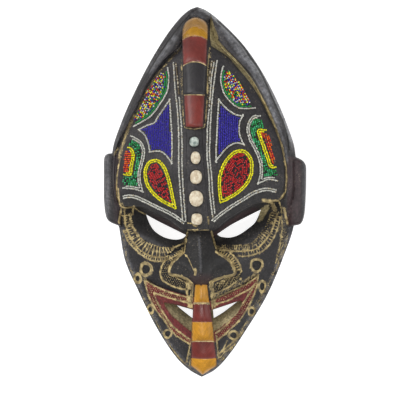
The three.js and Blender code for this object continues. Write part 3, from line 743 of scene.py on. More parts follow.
# The long beige scoop along the right edge of the forehead
SCOOP = joined(
    [(7.2, 211), (10.5, 199), (15.2, 186.6)],
    [(15.2, 181), (21.2, 174.7), (28.1, 166.8), (39.1, 155.8), (49.3, 143.6), (58.3, 131.2), (65.5, 118.5),
     (74, 102.2), (81.8, 85.2)],
    [(89, 66), (79.4, 84.2), (71.4, 101), (63, 116.4), (56, 127.6), (47.5, 138.6), (39.3, 148.2),
     (27.2, 161.8)],
    [(7.3, 174.7), (6.0, 190)],
)


def punches(outline, pitch):
    """Places of the punched dots in a field."""
    spots = hex_grid(pitch, outline.min(0), outline.max(0))
    spots = spots + rng.normal(0, 0.3, spots.shape)
    return spots[inside_of(outline, spots) > 0.5]


# Directions, stretches and shifts of the waves below
WAVES = [(0.3, 1.0, 0.4), (1.4, 1.37, 2.1), (2.5, 0.81, 4.4), (0.9, 1.9, 1.2), (2.0, 0.63, 3.3)]


def waves(x, y, size):
    """Unevenness of hand carving, about -1 to 1, with waves of a given size."""
    total = np.zeros(len(x))
    for turn, stretch, shift in WAVES:
        along_wave = x * math.cos(turn) + y * math.sin(turn)
        total += np.sin(2 * math.pi * along_wave / (size * stretch) + shift)
    return total / 3.2


# Crest and chin bar: rows of painted barrels

crest_left = through([
    (78, -23), (114, -25), (151, -26), (180, -27), (192.6, -26.8), (197, -25.8), (201.6, -23.7),
    (204.6, -20.5), (207, -16), (208, -12),
])
crest_right = through([
    (78, -2.5), (114, -0.5), (151, 1.5), (180, 2.8), (192.6, 3.6), (197, 3.3), (201.6, 1.6),
    (204.6, -1.5), (207, -6), (208, -10),
])
chin_left = through([
    (-218, -3.5), (-212, -11), (-207, -16.8), (-178, -16), (-155, -15.5), (-132, -13.4), (-111, -11.8),
])
chin_right = through([
    (-218, -2), (-212, 7), (-207, 14), (-178, 11), (-155, 8.8), (-132, 5), (-111, 2.4),
])

# Each barrel: lower y, upper y, how far its ends bow up in the middle, width of the cream line at its
# upper end, how full that line is, colour
CREST = [
    (77.5, 115.5, 0, 0.5, 1.0, 0.85, RED),
    (115.5, 150.5, 0.5, 5, 1.1, 1.0, BLACK),
    (150.5, 181.5, 5, 4.6, 0.8, 0.5, RED),
    (181.5, 186.5, 4.6, 10.8, 0.0, 0.0, OCHRE),
    (186.5, 210, 10.8, 0, 0.0, 0.0, TAN),
]
CHIN = [
    (-219.2, -198.6, 0, -1, 0.6, 0.3, YELLOW),
    (-198.6, -178.4, -1, 0.5, 1.3, 0.75, RED),
    (-178.4, -155.4, 0.5, 0, 1.0, 0.3, YELLOW),
    (-155.4, -132.0, 0, 0, 2.6, 1.2, RED),
    (-132.0, -111, 0, 1, 0.0, 0.0, YELLOW),
]
BARREL_END = 0.7
BARREL_ROLL = 8.0
BARREL_ROUND = 1.6
LINE_FADE = 0.3
BAR_LAP = 0.5
# Shares of a bar's half width between which its flanks darken, as painted shade
BAR_FLANKS = (0.86, 0.97)


def bar_width(left_side, right_side, y):
    """Middle and half width of a bar, which laps a little over its outline."""
    return (left_side(y) + right_side(y)) / 2, (right_side(y) - left_side(y)) / 2 + BAR_LAP


def bar_shape(x, y, left_side, right_side, barrels, ground):
    """Height, colour, beige, wear and shine of a row of barrels, each swelling to its lower end, with
    painted shade on the flanks.
    """
    middle, half = bar_width(left_side, right_side, y)
    across = np.clip((x - middle) / half, -1, 1)
    bow = 1 - across ** 2
    rounded = np.sqrt(np.maximum(0.05, bow))
    rise, beige, worn = np.zeros((3, len(x)))
    paint = np.zeros((len(x), 3))
    for lower, upper, low_bow, high_bow, line, full, colour in barrels:
        low, high = lower + low_bow * bow, upper + high_bow * bow
        inside = (y >= low) & (y <= high + 0.01)
        share = np.clip((high - y) / (high - low), 0, 1)
        end = ease(0, BARREL_ROUND, y - low)
        start = ease(0, BARREL_END, high - y)
        roll = np.clip(1 - (y - low) / BARREL_ROLL, 0, 1)
        lift = BAR_SWELL * (1.2 * share ** 1.4 - roll ** 2) - 0.9 * (1 - end) - 0.5 * (1 - start)
        rise = np.where(inside, lift, rise)
        paint[inside] = colour
        if line:
            beige = np.where(inside, full * (1 - ease(line, line + LINE_FADE, high - y)), beige)
        near_end = np.maximum(1 - ease(0, 3.0, y - low), 1 - ease(0, 2.5, high - y))
        worn = np.where(inside, near_end * (0.0 if colour in (BLACK, TAN) else 0.8), worn)
    # Painted shade: the steep flanks are darkened to 0.3 of their paint
    flank = ease(*BAR_FLANKS, np.abs(across))
    paint = mix(paint, paint * 0.3, flank[:, None])
    shine = mix(GLOSS["bars"], GLOSS["flanks"], flank)
    return ground(y) + (BAR_RAISE + rise) * mix(0.25, 1, rounded), paint, beige, worn, shine


def bar_rows(left_side, right_side, barrels):
    """Rows of points along every step between barrels, and along the bar's flanks."""
    rows = []
    spread = np.linspace(-0.96, 0.96, 17)
    bow = 1 - spread ** 2
    for lower, upper, low_bow, high_bow, line, _, _ in barrels:
        low, high = lower + low_bow * bow, upper + high_bow * bow
        upper_steps = (high - 0.02, high - BARREL_END, high - line - LINE_FADE)
        for y in (*upper_steps, low + 0.25, low + 0.8, low + BARREL_ROUND):
            middle, half = bar_width(left_side, right_side, y)
            rows.append(np.c_[middle + spread * half, y])
    y = np.arange(barrels[0][0], barrels[-1][1], 1.4)
    middle, half = bar_width(left_side, right_side, y)
    for share in (-BAR_FLANKS[1], -BAR_FLANKS[0], *BAR_FLANKS):
        rows.append(np.c_[middle + share * half, y])
    return rows


# Ears, each from its inner top corner outwards and down
EARS = [
    joined(
        [(-100, 46), (-112, 46.1), (-117.2, 45.2), (-120.1, 42)],
        [(-121, 35)],
        [(-121, -6), (-120.2, -18), (-118.8, -27), (-116.6, -33), (-111.5, -37)],
        [(-100, -41.5)],
    ),
    joined(
        [(98, 41.8), (108, 41.4), (113, 39.8), (117.5, 36.8), (120.2, 32.6)],
        [(121, 28)],
        [(120.8, 4), (120.3, -8), (119.6, -20), (118.2, -30), (115.6, -36.6), (111, -39.6)],
        [(98, -41)],
    ),
]

# Outlines of the large parts
brow_x = np.arange(-104.5, 94, 1.2)
FOREHEAD = np.vstack([
    np.c_[brow_x, brow_line(brow_x)],
    along(hood_right, 0, 206)[1:],
    along(hood_left, 206, -5),
])
STRIP = np.vstack([
    along(through([(-45.5, 4), (-20, 3), (20, -1), (70, -4)]), -45.5, 80),
    along(through([(-45.5, -20), (0, -21), (70, -22)]), 80, -45.5),
])
CREST_OUTLINE = np.vstack([along(crest_right, 77.5, 208), along(crest_left, 208, 77.5)])
CHIN_OUTLINE = np.vstack([along(chin_right, -218, -111), along(chin_left, -111, -218)])

# Each bar: outline, left side, right side, barrels, height of the ground below
BARS = [
    (CREST_OUTLINE, crest_left, crest_right, CREST, forehead_height),
    (CHIN_OUTLINE, chin_left, chin_right, CHIN, face_height),
]

# Rings round punched hollows: place, half width, half height, hollow's share
RINGS = [
    (-70.5, -92.5, 9.0, 9.2, 0.54), (-80.5, -103.5, 5.2, 7.6, 0.42), (-65.5, -140.5, 5.0, 6.2, 0.46),
    (-44.5, -169.5, 6.2, 6.0, 0.55), (61.7, -87.6, 9.0, 9.0, 0.62), (68.3, -112.9, 5.0, 8.2, 0.54),
    (55.7, -143, 5.2, 6.2, 0.52), (34, -171.4, 6.8, 6.6, 0.54),
]

# Large beads down the middle: place, width, length
CENTRE_BEADS = [
    (-13, 59.5, 11, 12), (-11.2, 40.5, 11.5, 15), (-10.7, 17.5, 14, 16.5), (-10.5, -8, 16.5, 19),
    (-9.8, -32.5, 13, 13.5),
]

body_line = np.vstack([
    along(left_edge, HALF_LENGTH, -HALF_LENGTH),
    along(right_edge, -HALF_LENGTH, HALF_LENGTH),
])


def outer_outline():
    """Plan of the whole body: the mask's own edge, with the ears standing out."""
    kept = []
    for x, y in body_line:
        ear = EARS[0] if x < 0 else EARS[1]
        beside_ear = ear[:, 1].min() < y < ear[:, 1].max() and abs(x) > 90
        if not beside_ear:
            kept.append((x, y))
    kept = np.array(kept)
    a, b = np.flatnonzero(np.hypot(*np.diff(kept, axis=0).T) > 20)[:2]
    left, right = (ear[inside_of(body_line, ear) < -0.2] for ear in EARS)
    line = np.vstack([kept[:a + 1], left, kept[a + 1:b + 1], right[::-1], kept[b + 1:], kept[:1]])
    return even(line, ROW_STEP)[:-1]


OUTLINE = outer_outline()
HOLES = EYES + MOUTH_HOLES
PUNCHED_DOTS = [punches(outline, pitch) for outline, pitch, *_ in PUNCHED]
FLOW_STRETCH = 0.1
RING_WOBBLE = 0.05
RING_EDGE = 0.06
STROKE_WOBBLE = 0.24
HALO = 3.0
HALO_LEVEL = 0.43
RIM_DUST = 0.45
FORM_WAVES = 0.22
CHAMFER_LEFT = 3.2
CHAMFER_RIGHT = through([(-60, 1.5), (40, 3.0), (70, 5.0), (130, 6.5), (180, 5.5), (210, 2.0)])


def stroke(points, width, x, y, wobble, halo=0.0):
    """1 on a line of a given width, falling to 0 just beside it, and the halo of dust round it."""
    gap, _ = measure(smooth(points), x, y, reach=width / 2 + 1 + halo)
    mask = 1 - ease(width / 2, width / 2 + LINE_EDGE, gap + wobble)
    return (mask, 1 - ease(width / 2, width / 2 + halo, gap)) if halo else mask


def nearest_gap(spots, x, y):
    """How far the nearest of some spots is from each place."""
    gap = np.full(len(x), 9.0)
    for part in np.array_split(np.arange(len(x)), len(x) * len(spots) // PAIRS_AT_ONCE + 1):
        gap[part] = np.hypot(x[part][:, None] - spots[:, 0], y[part][:, None] - spots[:, 1]).min(1)
    return gap


def ring_wobble(turn, rx, ry):
    """How far a ring strays from an ellipse at each turn."""
    return 1 + RING_WOBBLE * (np.sin(2 * turn + rx) + np.sin(3 * turn + ry))


class Front:
    """The carved front at many places: height, paint, beige, gloss and wear."""

    def __init__(self, x, y):
        self.x, self.y = x, y
        self.z = carved(x, y) + FORM_WAVES * waves(x, y, 24)
        self.paint = np.tile(BLACK, (len(x), 1)).astype(float)
        self.beige = np.zeros(len(x))
        self.gloss = np.full(len(x), GLOSS["plain"])
        self.worn = np.zeros(len(x))
        self.wobble = STROKE_WOBBLE * waves(x, y, 6)
        self.rub = 0.92 + 0.24 * waves(x, y, 13)
        self.edge = self.inside(OUTLINE)

    def inside(self, outline):
        return measure(outline, self.x, self.y, True)[0]

    def band(self, points, width, full, gone):
        """1 along a line, falling to 0 between two shares of a width from it."""
        gap, _ = measure(smooth(points), self.x, self.y, reach=width)
        return 1 - ease(width * full, width * gone, gap)

    def tint(self, colour, share):
        self.paint = mix(self.paint, np.array(colour), share[:, None])

    def rub_in(self, level):
        self.beige = np.maximum(self.beige, level)

    def lay(self, mask, height=None, colour=None, part=None):
        """Shape and paint the places under a mask, each only where it is given."""
        if height is not None:
            self.z = mix(self.z, height, mask)
        if colour is not None:
            self.paint = mix(self.paint, np.asarray(colour, float), (mask > 0.5)[:, None])
        if part is not None:
            self.gloss = np.where(mask > 0.5, GLOSS[part], self.gloss)

    def cut(self, mask, depth, full):
        self.z = self.z - depth * mask
        self.rub_in(mask * full * self.rub)

    def hood_and_panel(self):
        """Hood, forehead, strip, scoop and eye sockets, with painted sheen on the hood and edges and painted
        shade in the sockets.
        """
        x, y = self.x, self.y
        edge = self.edge
        band = np.where(x < centre(y), CHAMFER_LEFT, CHAMFER_RIGHT(y))
        above = ease(-70, -30, y)
        self.z = self.z - above * 0.25 * np.maximum(0, band - edge) * (edge < 12)
        self.gloss = mix(GLOSS["edge"], self.gloss, ease(3, 11, edge))
        # Grey streaks of handling wear and of painted sheen on the hood and edges
        for width, much, points in GREY_STREAKS_AND_SHEEN:
            self.tint(WEAR_AND_SHEEN_GREY, much * self.band(points, width, 0, 0.5) * (0.6 + 0.4 * waves(x, y, 8)))
        self.paint = self.paint * mix(1, 0.74, ease(-25, -50, y))[:, None]
        # Grey along the lower face's edge: dust and painted sheen
        face_rim_dust_and_sheen = ease(-36, -48, y) * (1 - ease(3, 8, edge)) * (0.5 + 0.4 * waves(x, y, 9))
        # Painted highlight along the upper right edge, a little glossier there
        rim_sheen = (1 - ease(2.8, 5.2, edge)) * ease(44, 64, y) * ease(-2, 4, x - centre(y))
        rim_sheen = rim_sheen * (0.8 + 0.2 * waves(x, y, 10))
        self.tint(WEAR_AND_SHEEN_GREY, face_rim_dust_and_sheen)
        self.tint(RIM_SHEEN_GREY, rim_sheen)
        self.gloss = mix(self.gloss, GLOSS["rim"], rim_sheen)
        panel = self.inside(FOREHEAD)
        under_brow = ease(2, 5, brow_line(x) - y) * (1 - ease(7, 12, brow_line(x) - y))
        over_eye = ease(-70, -55, x) * (1 - ease(56, 68, x))
        groove = ease(-GROOVE_WIDTH - GROOVE_SLOPE, -GROOVE_WIDTH, panel)
        groove = groove * ease(-10, -4, y) * (1 - ease(166, 188, y))
        self.lay(groove, np.minimum(self.z, forehead_edge(y) - GROOVE_DEPTH))
        rounded = forehead(x, y) - PANEL_ROUND * (1 - ease(0, 3, panel)) ** 2
        self.lay(ease(-CREASE, 0, panel), rounded, BLACK, "forehead")
        self.lay(ease(-CREASE, 0, self.inside(STRIP)), forehead(x, y) + STRIP_RAISE, None, "forehead")
        brow = ease(-1, 0, panel) * (1 - ease(10, 15, y - brow_line(x)))
        self.tint(COAL, 0.85 * brow)
        rising = forehead_edge(y) - GROOVE_DEPTH + SCOOP_SLOPE * np.maximum(0, -panel)
        facet = np.where(panel > 0, self.z - SCOOP_DEPTH, rising)
        self.lay(ease(-SCOOP_EDGE, 0, self.inside(SCOOP)), np.minimum(self.z, facet), SCOOP_OLIVE, "scoop")
        # Painted shade: the eye sockets are darkened to coal and made dull
        deep = ease(0.04, 0.3, socket(x, y) / SOCKET_DEPTH * (panel < -1))
        self.gloss = mix(self.gloss, GLOSS["sockets"], deep)
        self.tint(COAL, deep)
        self.tint(0.62 * np.array(REDDISH), under_brow * over_eye)
        corner = self.inside(joined(CORNER[:-1], CORNER[-1:]))
        self.lay(ease(-0.6, 0.6, corner), None, SCOOP_OLIVE)

    def face_parts(self):
        """Bands under the eyes, nose and lips, with a painted highlight on the nose ridge."""
        x, y = self.x, self.y
        for lid in (LEFT_LID, RIGHT_LID):
            inside = self.inside(np.vstack([smooth(lid["outer"]), smooth(lid["inner"])[::-1]]))
            self.lay(ease(-1.2, 0.4, inside), self.z + LID_RAISE)
        nose_in = self.inside(NOSE)
        on_nose = ease(-CREASE, 0, nose_in) * (nose(x, y) > self.z - 2)
        self.lay(on_nose, nose(x, y), COAL, "nose")
        self.off_nose = 1 - ease(-1.0, -CREASE, nose_in)
        tip = on_nose * ease(-94, -104, y) * (1 - ease(8, 17, np.abs(x + 5)))
        self.tint(0.6 * np.array(REDDISH), 0.9 * tip)
        # Painted highlight: a grey line down the nose ridge
        ridge = on_nose * (1 - ease(0.4, 1.8, np.abs(x - centre(y)))) * ease(-50, -58, y) * ease(-99, -90, y)
        self.tint(WEAR_AND_SHEEN_GREY, 0.45 * ridge)
        for lip in LIPS:
            self.lay(ease(-CREASE, 0, self.inside(lip)), face(x, y) + LIP_RAISE, LIP_RED, "lips")

    def cuts(self):
        """Punched fields, incised lines, smears, dark cuts and rings, with painted shade in the dark cuts
        and ring hollows.
        """
        x, y = self.x, self.y
        for (outline, _, paint, low, high), dots in zip(PUNCHED, PUNCHED_DOTS):
            inside = self.inside(outline)
            field = ease(-0.3, 0.1, inside)
            self.lay(field, None, paint, "punched")
            here = np.flatnonzero(inside > -1)
            dot = np.zeros(len(x))
            gap = nearest_gap(dots, x[here], y[here])
            dot[here] = 1 - ease(PIT_RADIUS, PIT_RADIUS + PIT_EDGE, gap)
            self.z = self.z - PIT_DEPTH * dot
            self.rub_in(np.maximum(low * field, high * dot))
        for width, depth, full, points in CUT_LINES:
            mask, halo = stroke(points, width, x, y, self.wobble, HALO)
            self.cut(mask, depth, full)
            self.rub_in(halo * HALO_LEVEL * (y < 0))
        for width, depth, full, ends in HATCHES:
            self.cut(stroke(ends, width, x, y, self.wobble), depth, full)
        for width, full, points in SMEARS:
            self.rub_in(full * self.band(points, width, 0.1, 0.62))
        self.rub_in(RIM_DUST * (1 - ease(2, 10, self.edge)) * ease(-40, -60, y))
        self.beige = self.beige * self.off_nose * ease(0.2, 1.7, self.edge)
        for width, depth, full, points in NOSE_LINES:
            self.cut(stroke(points, width, x, y, self.wobble), depth, full)
        # Painted shade: each dark cut is painted coal, darker than the black around it
        for width, depth, points in DARK_CUTS:
            mark = stroke(points, width, x, y, 0)
            self.z = self.z - depth * mark
            self.beige = self.beige * (1 - mark)
            self.lay(mark, None, COAL)
        for rx, ry, wide, tall, share in RINGS:
            turn = np.arctan2(y - ry, x - rx)
            far = np.hypot((x - rx) / wide, (y - ry) / tall) / ring_wobble(turn, rx, ry)
            hollow = ease(share + RING_EDGE, share - RING_EDGE, far)
            ring = ease(1.0, 1 - 2 * RING_EDGE, far) * (1 - hollow)
            self.rub_in(0.36 * ease(1.45, 1.0, far))
            self.z = self.z - RING_DEPTH * ring - HOLLOW_DEPTH * hollow
            self.beige = self.beige * (1 - hollow)
            self.rub_in(ring * (0.85 + 0.2 * waves(x, y, 7)))
            # Painted shade: the ring's hollow is painted coal
            self.lay(hollow, None, COAL, "rings")

    def mouths(self):
        """The slopes inside the lips, the right one lightened as painted light."""
        for mouth in MOUTHS:
            inside = self.inside(mouth)
            # Painted light: the right mouth's olive wall is lightened 1.35 times
            olive = np.array(OLIVE) * (1.0 if mouth is MOUTHS[0] else 1.35)
            height = np.minimum(self.z, mouth_floor(self.x, self.y))
            self.lay(ease(-0.1, CREASE, inside), height, olive, "mouth")
            self.beige = np.where(inside > 0, 0.38 * ease(3.0, 0, inside), self.beige)

    def bars_and_ears(self):
        """Ears, crest, chin bar and the seats of the large beads."""
        x, y = self.x, self.y
        for ear in EARS:
            inside = self.inside(ear)
            rounded = 1 - np.sqrt(dome(inside / EAR_ROUND, 2))
            top = EAR_HEIGHT - EAR_ROUND * rounded + 0.2 * waves(x, y, 18)
            top = top - EAR_ARCH * ((np.abs(x) - 113) / 10) ** 2
            self.lay(ease(-CREASE, 0, inside) * (top > self.z), top, BLACK, "ears")
            reddish = np.where(x < 0, 0.6 * ease(112, 106, -x), ease(117, 112, x)) * (inside > 0)
            self.tint(EAR_BROWN, 0.8 * reddish)
            # Painted sheen: grey bands down the outer parts of the ears
            pale = np.where(x < 0, 0.62 * (1 - ease(0.8, 4.5, np.abs(x + 117.2))), 0.3 * ease(115, 118.5, x))
            self.tint(WEAR_AND_SHEEN_GREY, pale * (inside > 0) * ease(-42, -30, y))
        for outline, left_side, right_side, barrels, ground in BARS:
            within = self.inside(outline)
            on = ease(-CREASE, 0, within) * ease(0.3, 1.2, self.edge)
            self.beige = self.beige * (1 - ease(-1.1, -CREASE, within))
            height, *looks = bar_shape(x, y, left_side, right_side, barrels, ground)
            self.z = mix(self.z, height, on)
            top = on > 0.5
            for own, new in zip((self.paint, self.beige, self.worn, self.gloss), looks):
                own[top] = new[top]
        for bx, by, width, length in CENTRE_BEADS:
            far = np.hypot((x - bx) / (width / 2 + SEAT_GAP), (y - by) / (length / 2 + SEAT_GAP))
            self.z = self.z - SEAT_DEPTH * (far < 1)

    def carve(self):
        """All of it, in the order in which the parts lie on one another."""
        self.hood_and_panel()
        self.face_parts()
        self.cuts()
        self.mouths()
        self.bars_and_ears()
        return self


def flow_of(x, y, z):
    """Coordinates that run along the edge of the mask, for grain and brush streaks."""
    left = x < centre(y)
    across = np.where(left, x - left_edge(y), 300 + right_edge(y) - x)
    return np.c_[across, y * FLOW_STRETCH, z]


# Meshes

def placed(name, data):
    """An object with this data, put into the scene."""
    made = bpy.data.objects.new(name, data)
    bpy.context.scene.collection.objects.link(made)
    return made


# Kinds of values that points carry: the field that takes them
FIELDS = {"FLOAT": "value", "FLOAT_COLOR": "color", "FLOAT_VECTOR": "vector"}


def mesh_object(name, verts, faces, materials, values=(), slots=None, flat_from=40):
    """A mesh in the scene; values: name, kind and one value a point; slots: material of each triangle."""
    mesh = bpy.data.meshes.new(name)
    mesh.from_pydata(np.asarray(verts, float) * MM, [], np.asarray(faces))
    for key, kind, data in values:
        flat = np.asarray(data, np.float32).ravel()
        mesh.attributes.new(key, kind, "POINT").data.foreach_set(FIELDS[kind], flat)
    for material in materials:
        mesh.materials.append(material)
    if slots is not None:
        mesh.polygons.foreach_set("material_index", np.asarray(slots, np.int32))
    mesh.shade_smooth()
    if flat_from:
        mesh.set_sharp_from_angle(angle=math.radians(flat_from))
    mesh.update()
    made = placed(name, mesh)
    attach(made, "root")
    return made


def thinned(points, rows, gap):
    """Points that lie at least about gap away from every row."""
    cells = set()
    for x, y in np.floor(rows / gap).astype(int):
        cells.update((x + i, y + j) for i in (-1, 0, 1) for j in (-1, 0, 1))
    keep = [tuple(cell) not in cells for cell in np.floor(points / gap).astype(int)]
    return points[np.array(keep)]


def clear_of_edges(points, from_outline, from_holes):
    """Which points lie on the wood, so far from its outline and its holes."""
    clear = inside_of(OUTLINE, points) > from_outline
    for hole in HOLES:
        clear &= inside_of(hole, points) < -from_holes
    return clear


def triangulated(rows, loose):
    """Triangles over the plan between the outline and the holes, with edges along both and every row."""
    points, edges = [], []
    rings = [OUTLINE, *HOLES]
    for i, line in enumerate(rings + rows):
        first = len(points)
        points.extend(map(tuple, line))
        last = len(points) - 1
        edges.extend((k, k + 1) for k in range(first, last))
        if i < len(rings):
            edges.append((last, first))
    points.extend(map(tuple, loose))
    got = delaunay_2d_cdt([Vector(p) for p in points], edges, [], 0, 1e-5)
    verts = np.array([(v.x, v.y) for v in got[0]])
    faces = np.array(got[2])
    return verts, faces[clear_of_edges(verts[faces].mean(1), 0, 0)]


def boundary(faces):
    """Directed edges that only one triangle has."""
    edges = np.vstack([faces[:, [0, 1]], faces[:, [1, 2]], faces[:, [2, 0]]])
    known = set(map(tuple, edges))
    return [(a, b) for a, b in edges if (b, a) not in known]


def nearest(source, target):
    """Which point of the target is nearest to each point of the source, in the plan."""
    tree = KDTree(len(target))
    for i, p in enumerate(target):
        tree.insert((p[0], p[1], 0), i)
    tree.balance()
    return [tree.find((p[0], p[1], 0))[1] for p in source]


def line_rows(points, width):
    """Rows of points along a cut: its middle, its edges and just outside them."""
    base = smooth(points)
    sides = (width / 2, width / 2 + LINE_EDGE)
    return [base] + [offset(base, by * sign) for by in sides for sign in (-1, 1)]


def ring_rows(rx, ry, wide, tall, share):
    """Rows of points along the edges of a ring and of its hollow."""
    turn = np.linspace(0, 2 * math.pi, int(wide * 6) + 3)
    rows = []
    for scale in (1.0, 1 - 2 * RING_EDGE, share + RING_EDGE, share - RING_EDGE):
        size = scale * ring_wobble(turn, rx, ry)
        rows.append(np.c_[rx + wide * size * np.cos(turn), ry + tall * size * np.sin(turn)])
    return rows


def feature_rows():
    """Rows of points along every edge and cut of the front."""
    rows = []
    for line in (FOREHEAD, STRIP, NOSE, *LIPS, *MOUTHS, *EARS, CREST_OUTLINE, CHIN_OUTLINE):
        rows += [closed_up(line), offset(line, -CREASE, True)]
    rows += [offset(FOREHEAD, -GROOVE_WIDTH, True), offset(FOREHEAD, -GROOVE_WIDTH - GROOVE_SLOPE, True)]
    rows += [closed_up(SCOOP), offset(SCOOP, -SCOOP_EDGE, True)]
    rows += [closed_up(outline) for outline, *_ in PUNCHED]
    for ring in RINGS:
        rows += ring_rows(*ring)
    for width, *_, points in CUT_LINES + NOSE_LINES + HATCHES + DARK_CUTS:
        rows += line_rows(points, width)
    for _, left_side, right_side, barrels, _ in BARS:
        rows += bar_rows(left_side, right_side, barrels)
    return rows


def pit_points():
    """Every punched dot, with points round it."""
    turn = np.arange(6) * math.pi / 3
    circle = np.c_[np.cos(turn), np.sin(turn)]
    out = []
    for dots in PUNCHED_DOTS:
        out.append(dots)
        for radius in (PIT_RADIUS, PIT_RADIUS + PIT_EDGE):
            out.append((dots[:, None] + radius * circle).reshape(-1, 2))
    return np.vstack(out)


def whole_rows(rows):
    """The stretches of rows that stay clear of the outline and the holes, split where they jump."""
    clear = []
    for row in rows:
        if len(row) < 2:
            continue
        ok = clear_of_edges(row, 0.5, 0.5)
        jump = np.r_[False, np.hypot(*np.diff(row, axis=0).T) > ROW_JUMP]
        change = np.r_[False, np.diff(ok.astype(int)) != 0] | jump
        parts = np.split(np.arange(len(row)), np.flatnonzero(change))
        clear += [row[part] for part in parts if len(part) > 1 and ok[part[0]]]
    return clear


def body_mesh():
    """The carved front and its triangles."""
    rows = whole_rows(feature_rows())
    pits = pit_points()
    grid = hex_grid(GRID_STEP, *PLAN_CORNERS)
    grid = grid[clear_of_edges(grid, 0.6, 0.6)]
    grid = thinned(grid, np.vstack([OUTLINE, *HOLES, *rows, pits]), GRID_GAP)
    plan, faces = triangulated(rows, np.vstack([grid, pits]))
    return Front(*plan.T).carve(), faces


def gouges(x, y):
    """Shallow scallops that a round gouge leaves in the back."""
    across = np.abs(np.sin(math.pi * (x + 3 * np.sin(y / 15)) / 11))
    down = np.abs(np.sin(math.pi * (y + 4 * np.sin(x / 11)) / 19))
    return GOUGE_DEPTH * np.minimum(across, down)


def back_mesh():
    """The flat rim and the hollow behind the face, with its triangles."""
    rim = np.vstack([
        along(lambda y: left_edge(y) + RIM_WIDTH, CAVITY_END, -CAVITY_END, 2.4),
        along(lambda y: right_edge(y) - RIM_WIDTH, -CAVITY_END, CAVITY_END, 2.4),
    ])
    rows = [closed_up(rim), closed_up(offset(rim, 2 * FOOT_EDGE, True))]
    grid = hex_grid(BACK_STEP, *PLAN_CORNERS)
    grid = thinned(grid[clear_of_edges(grid, 2.4, 1.5)], np.vstack(rows), BACK_GAP)
    plan, faces = triangulated(rows, grid)
    x, y = plan.T
    far = inside_of(rim, plan)
    depth = np.where(far > FOOT_EDGE, cavity(x, y) - gouges(x, y) * ease(1, 5, far), 0)
    return np.c_[plan, depth], faces[:, ::-1]


def inward(edges, verts):
    """Direction into the wood at each corner of the boundary."""
    push = {}
    for a, b in edges:
        run = verts[b] - verts[a]
        turned = np.array([-run[1], run[0]]) / (math.hypot(*run) + 1e-9)
        push[a] = push.get(a, 0) + turned
        push[b] = push.get(b, 0) + turned
    return {a: way / (np.linalg.norm(way) + 1e-9) for a, way in push.items()}


# How far down the wall each point lies, and how far it has moved inwards to the foot
WALL_STEPS = ((0.3, 0.05), (0.62, 0.12), (0.9, 0.55))


def whole_body():
    """Front, back and the walls between them in one closed mesh, with its paint."""
    front, top_faces = body_mesh()
    top = np.c_[front.x, front.y, front.z]
    back, back_faces = back_mesh()
    edges = boundary(top_faces)
    ends = sorted({a for a, _ in edges})
    low_ends = sorted({a for a, _ in boundary(back_faces)})
    match = nearest(top[ends, :2], back[low_ends, :2])
    below = {a: low_ends[m] for a, m in zip(ends, match)}
    ways = inward(edges, top[:, :2])
    for a in ends:
        if back[below[a], 2] < ON_FLOOR:
            back[below[a], :2] += ways[a] * FOOT_ROUND
    # Walls: between each point of the edge and its foot, three more points
    chains, middle = {}, []
    first = len(top) + len(back)
    for a in ends:
        end = back[below[a]]
        chain = [a]
        for share, push in WALL_STEPS:
            chain.append(first + len(middle))
            spot = mix(top[a, :2], end[:2], push) if end[2] < ON_FLOOR else top[a, :2]
            middle.append((*spot, mix(top[a, 2], end[2], share)))
        chains[a] = chain + [len(top) + below[a]]
    wall = []
    for a, b in edges:
        for a0, a1, b0, b1 in zip(chains[a], chains[a][1:], chains[b], chains[b][1:]):
            wall += [(b0, a0, a1), (b0, a1, b1)]
    verts = np.vstack([top, back, middle])
    faces = np.vstack([top_faces, back_faces + len(top), wall])
    plain = len(back) + len(middle)
    paint = np.vstack([front.paint, np.tile(BACK_BROWN, (len(back), 1)), np.tile(BLACK, (len(middle), 1))])
    return verts, faces, [
        ("beige", "FLOAT", np.r_[front.beige, np.zeros(plain)]),
        ("gloss", "FLOAT", np.r_[front.gloss, np.full(plain, GLOSS["back"])]),
        ("worn", "FLOAT", np.r_[front.worn, np.zeros(plain)]),
        ("stain", "FLOAT_COLOR", np.c_[paint, np.ones(len(paint))]),
        ("flow", "FLOAT_VECTOR", flow_of(*verts.T)),
    ]


# Materials

class Shader:
    """A material and the kinds of nodes used here; a socket passed as a value is linked."""

    def __init__(self, name):
        self.material = bpy.data.materials.new(name)
        self.material.use_nodes = True
        self.tree = self.material.node_tree
        self.surface = self.tree.nodes["Principled BSDF"]
        self.place = self.node("TexCoord", "Object")

    def fill(self, node, values):
        for key, value in values.items():
            if isinstance(value, bpy.types.NodeSocket):
                self.tree.links.new(value, node.inputs[key])
            else:
                node.inputs[key].default_value = value

    def node(self, kind, output, values=None, **settings):
        """The output of a new node with some settings and some of its inputs filled."""
        node = self.tree.nodes.new("ShaderNode" + kind)
        for key, value in settings.items():
            setattr(node, key, value)
        self.fill(node, values or {})
        return node.outputs[output]

    def attribute(self, name, output="Fac"):
        return self.node("Attribute", output, attribute_name=name)

    def noise(self, scale, detail, place=None):
        values = {"Vector": place or self.place, "Scale": scale, "Detail": detail}
        return self.node("TexNoise", "Fac", values)

    def ramp(self, value, low, high, start=0.0, end=1.0):
        values = {"Value": value, "From Min": low, "From Max": high, "To Min": start, "To Max": end}
        return self.node("MapRange", "Result", values, interpolation_type="SMOOTHSTEP")

    def times(self, a, b):
        return self.node("Math", "Value", {0: a, 1: b}, operation="MULTIPLY")

    def plus(self, a, b):
        return self.node("Math", "Value", {0: a, 1: b}, operation="ADD")

    def blend(self, share, a, b):
        a, b = (v if isinstance(v, bpy.types.NodeSocket) else (*v, 1) for v in (a, b))
        return self.node("Mix", "Result", {"Factor": share, "A": a, "B": b}, data_type="RGBA")

    def scaled(self, colour, value):
        """A colour times a number that varies over the surface."""
        return self.node("VectorMath", "Vector", {"Vector": colour, "Scale": value}, operation="SCALE")

    def bump(self, height, strength, distance):
        values = {"Height": height, "Strength": strength, "Distance": distance}
        self.fill(self.surface, {"Normal": self.node("Bump", "Normal", values)})


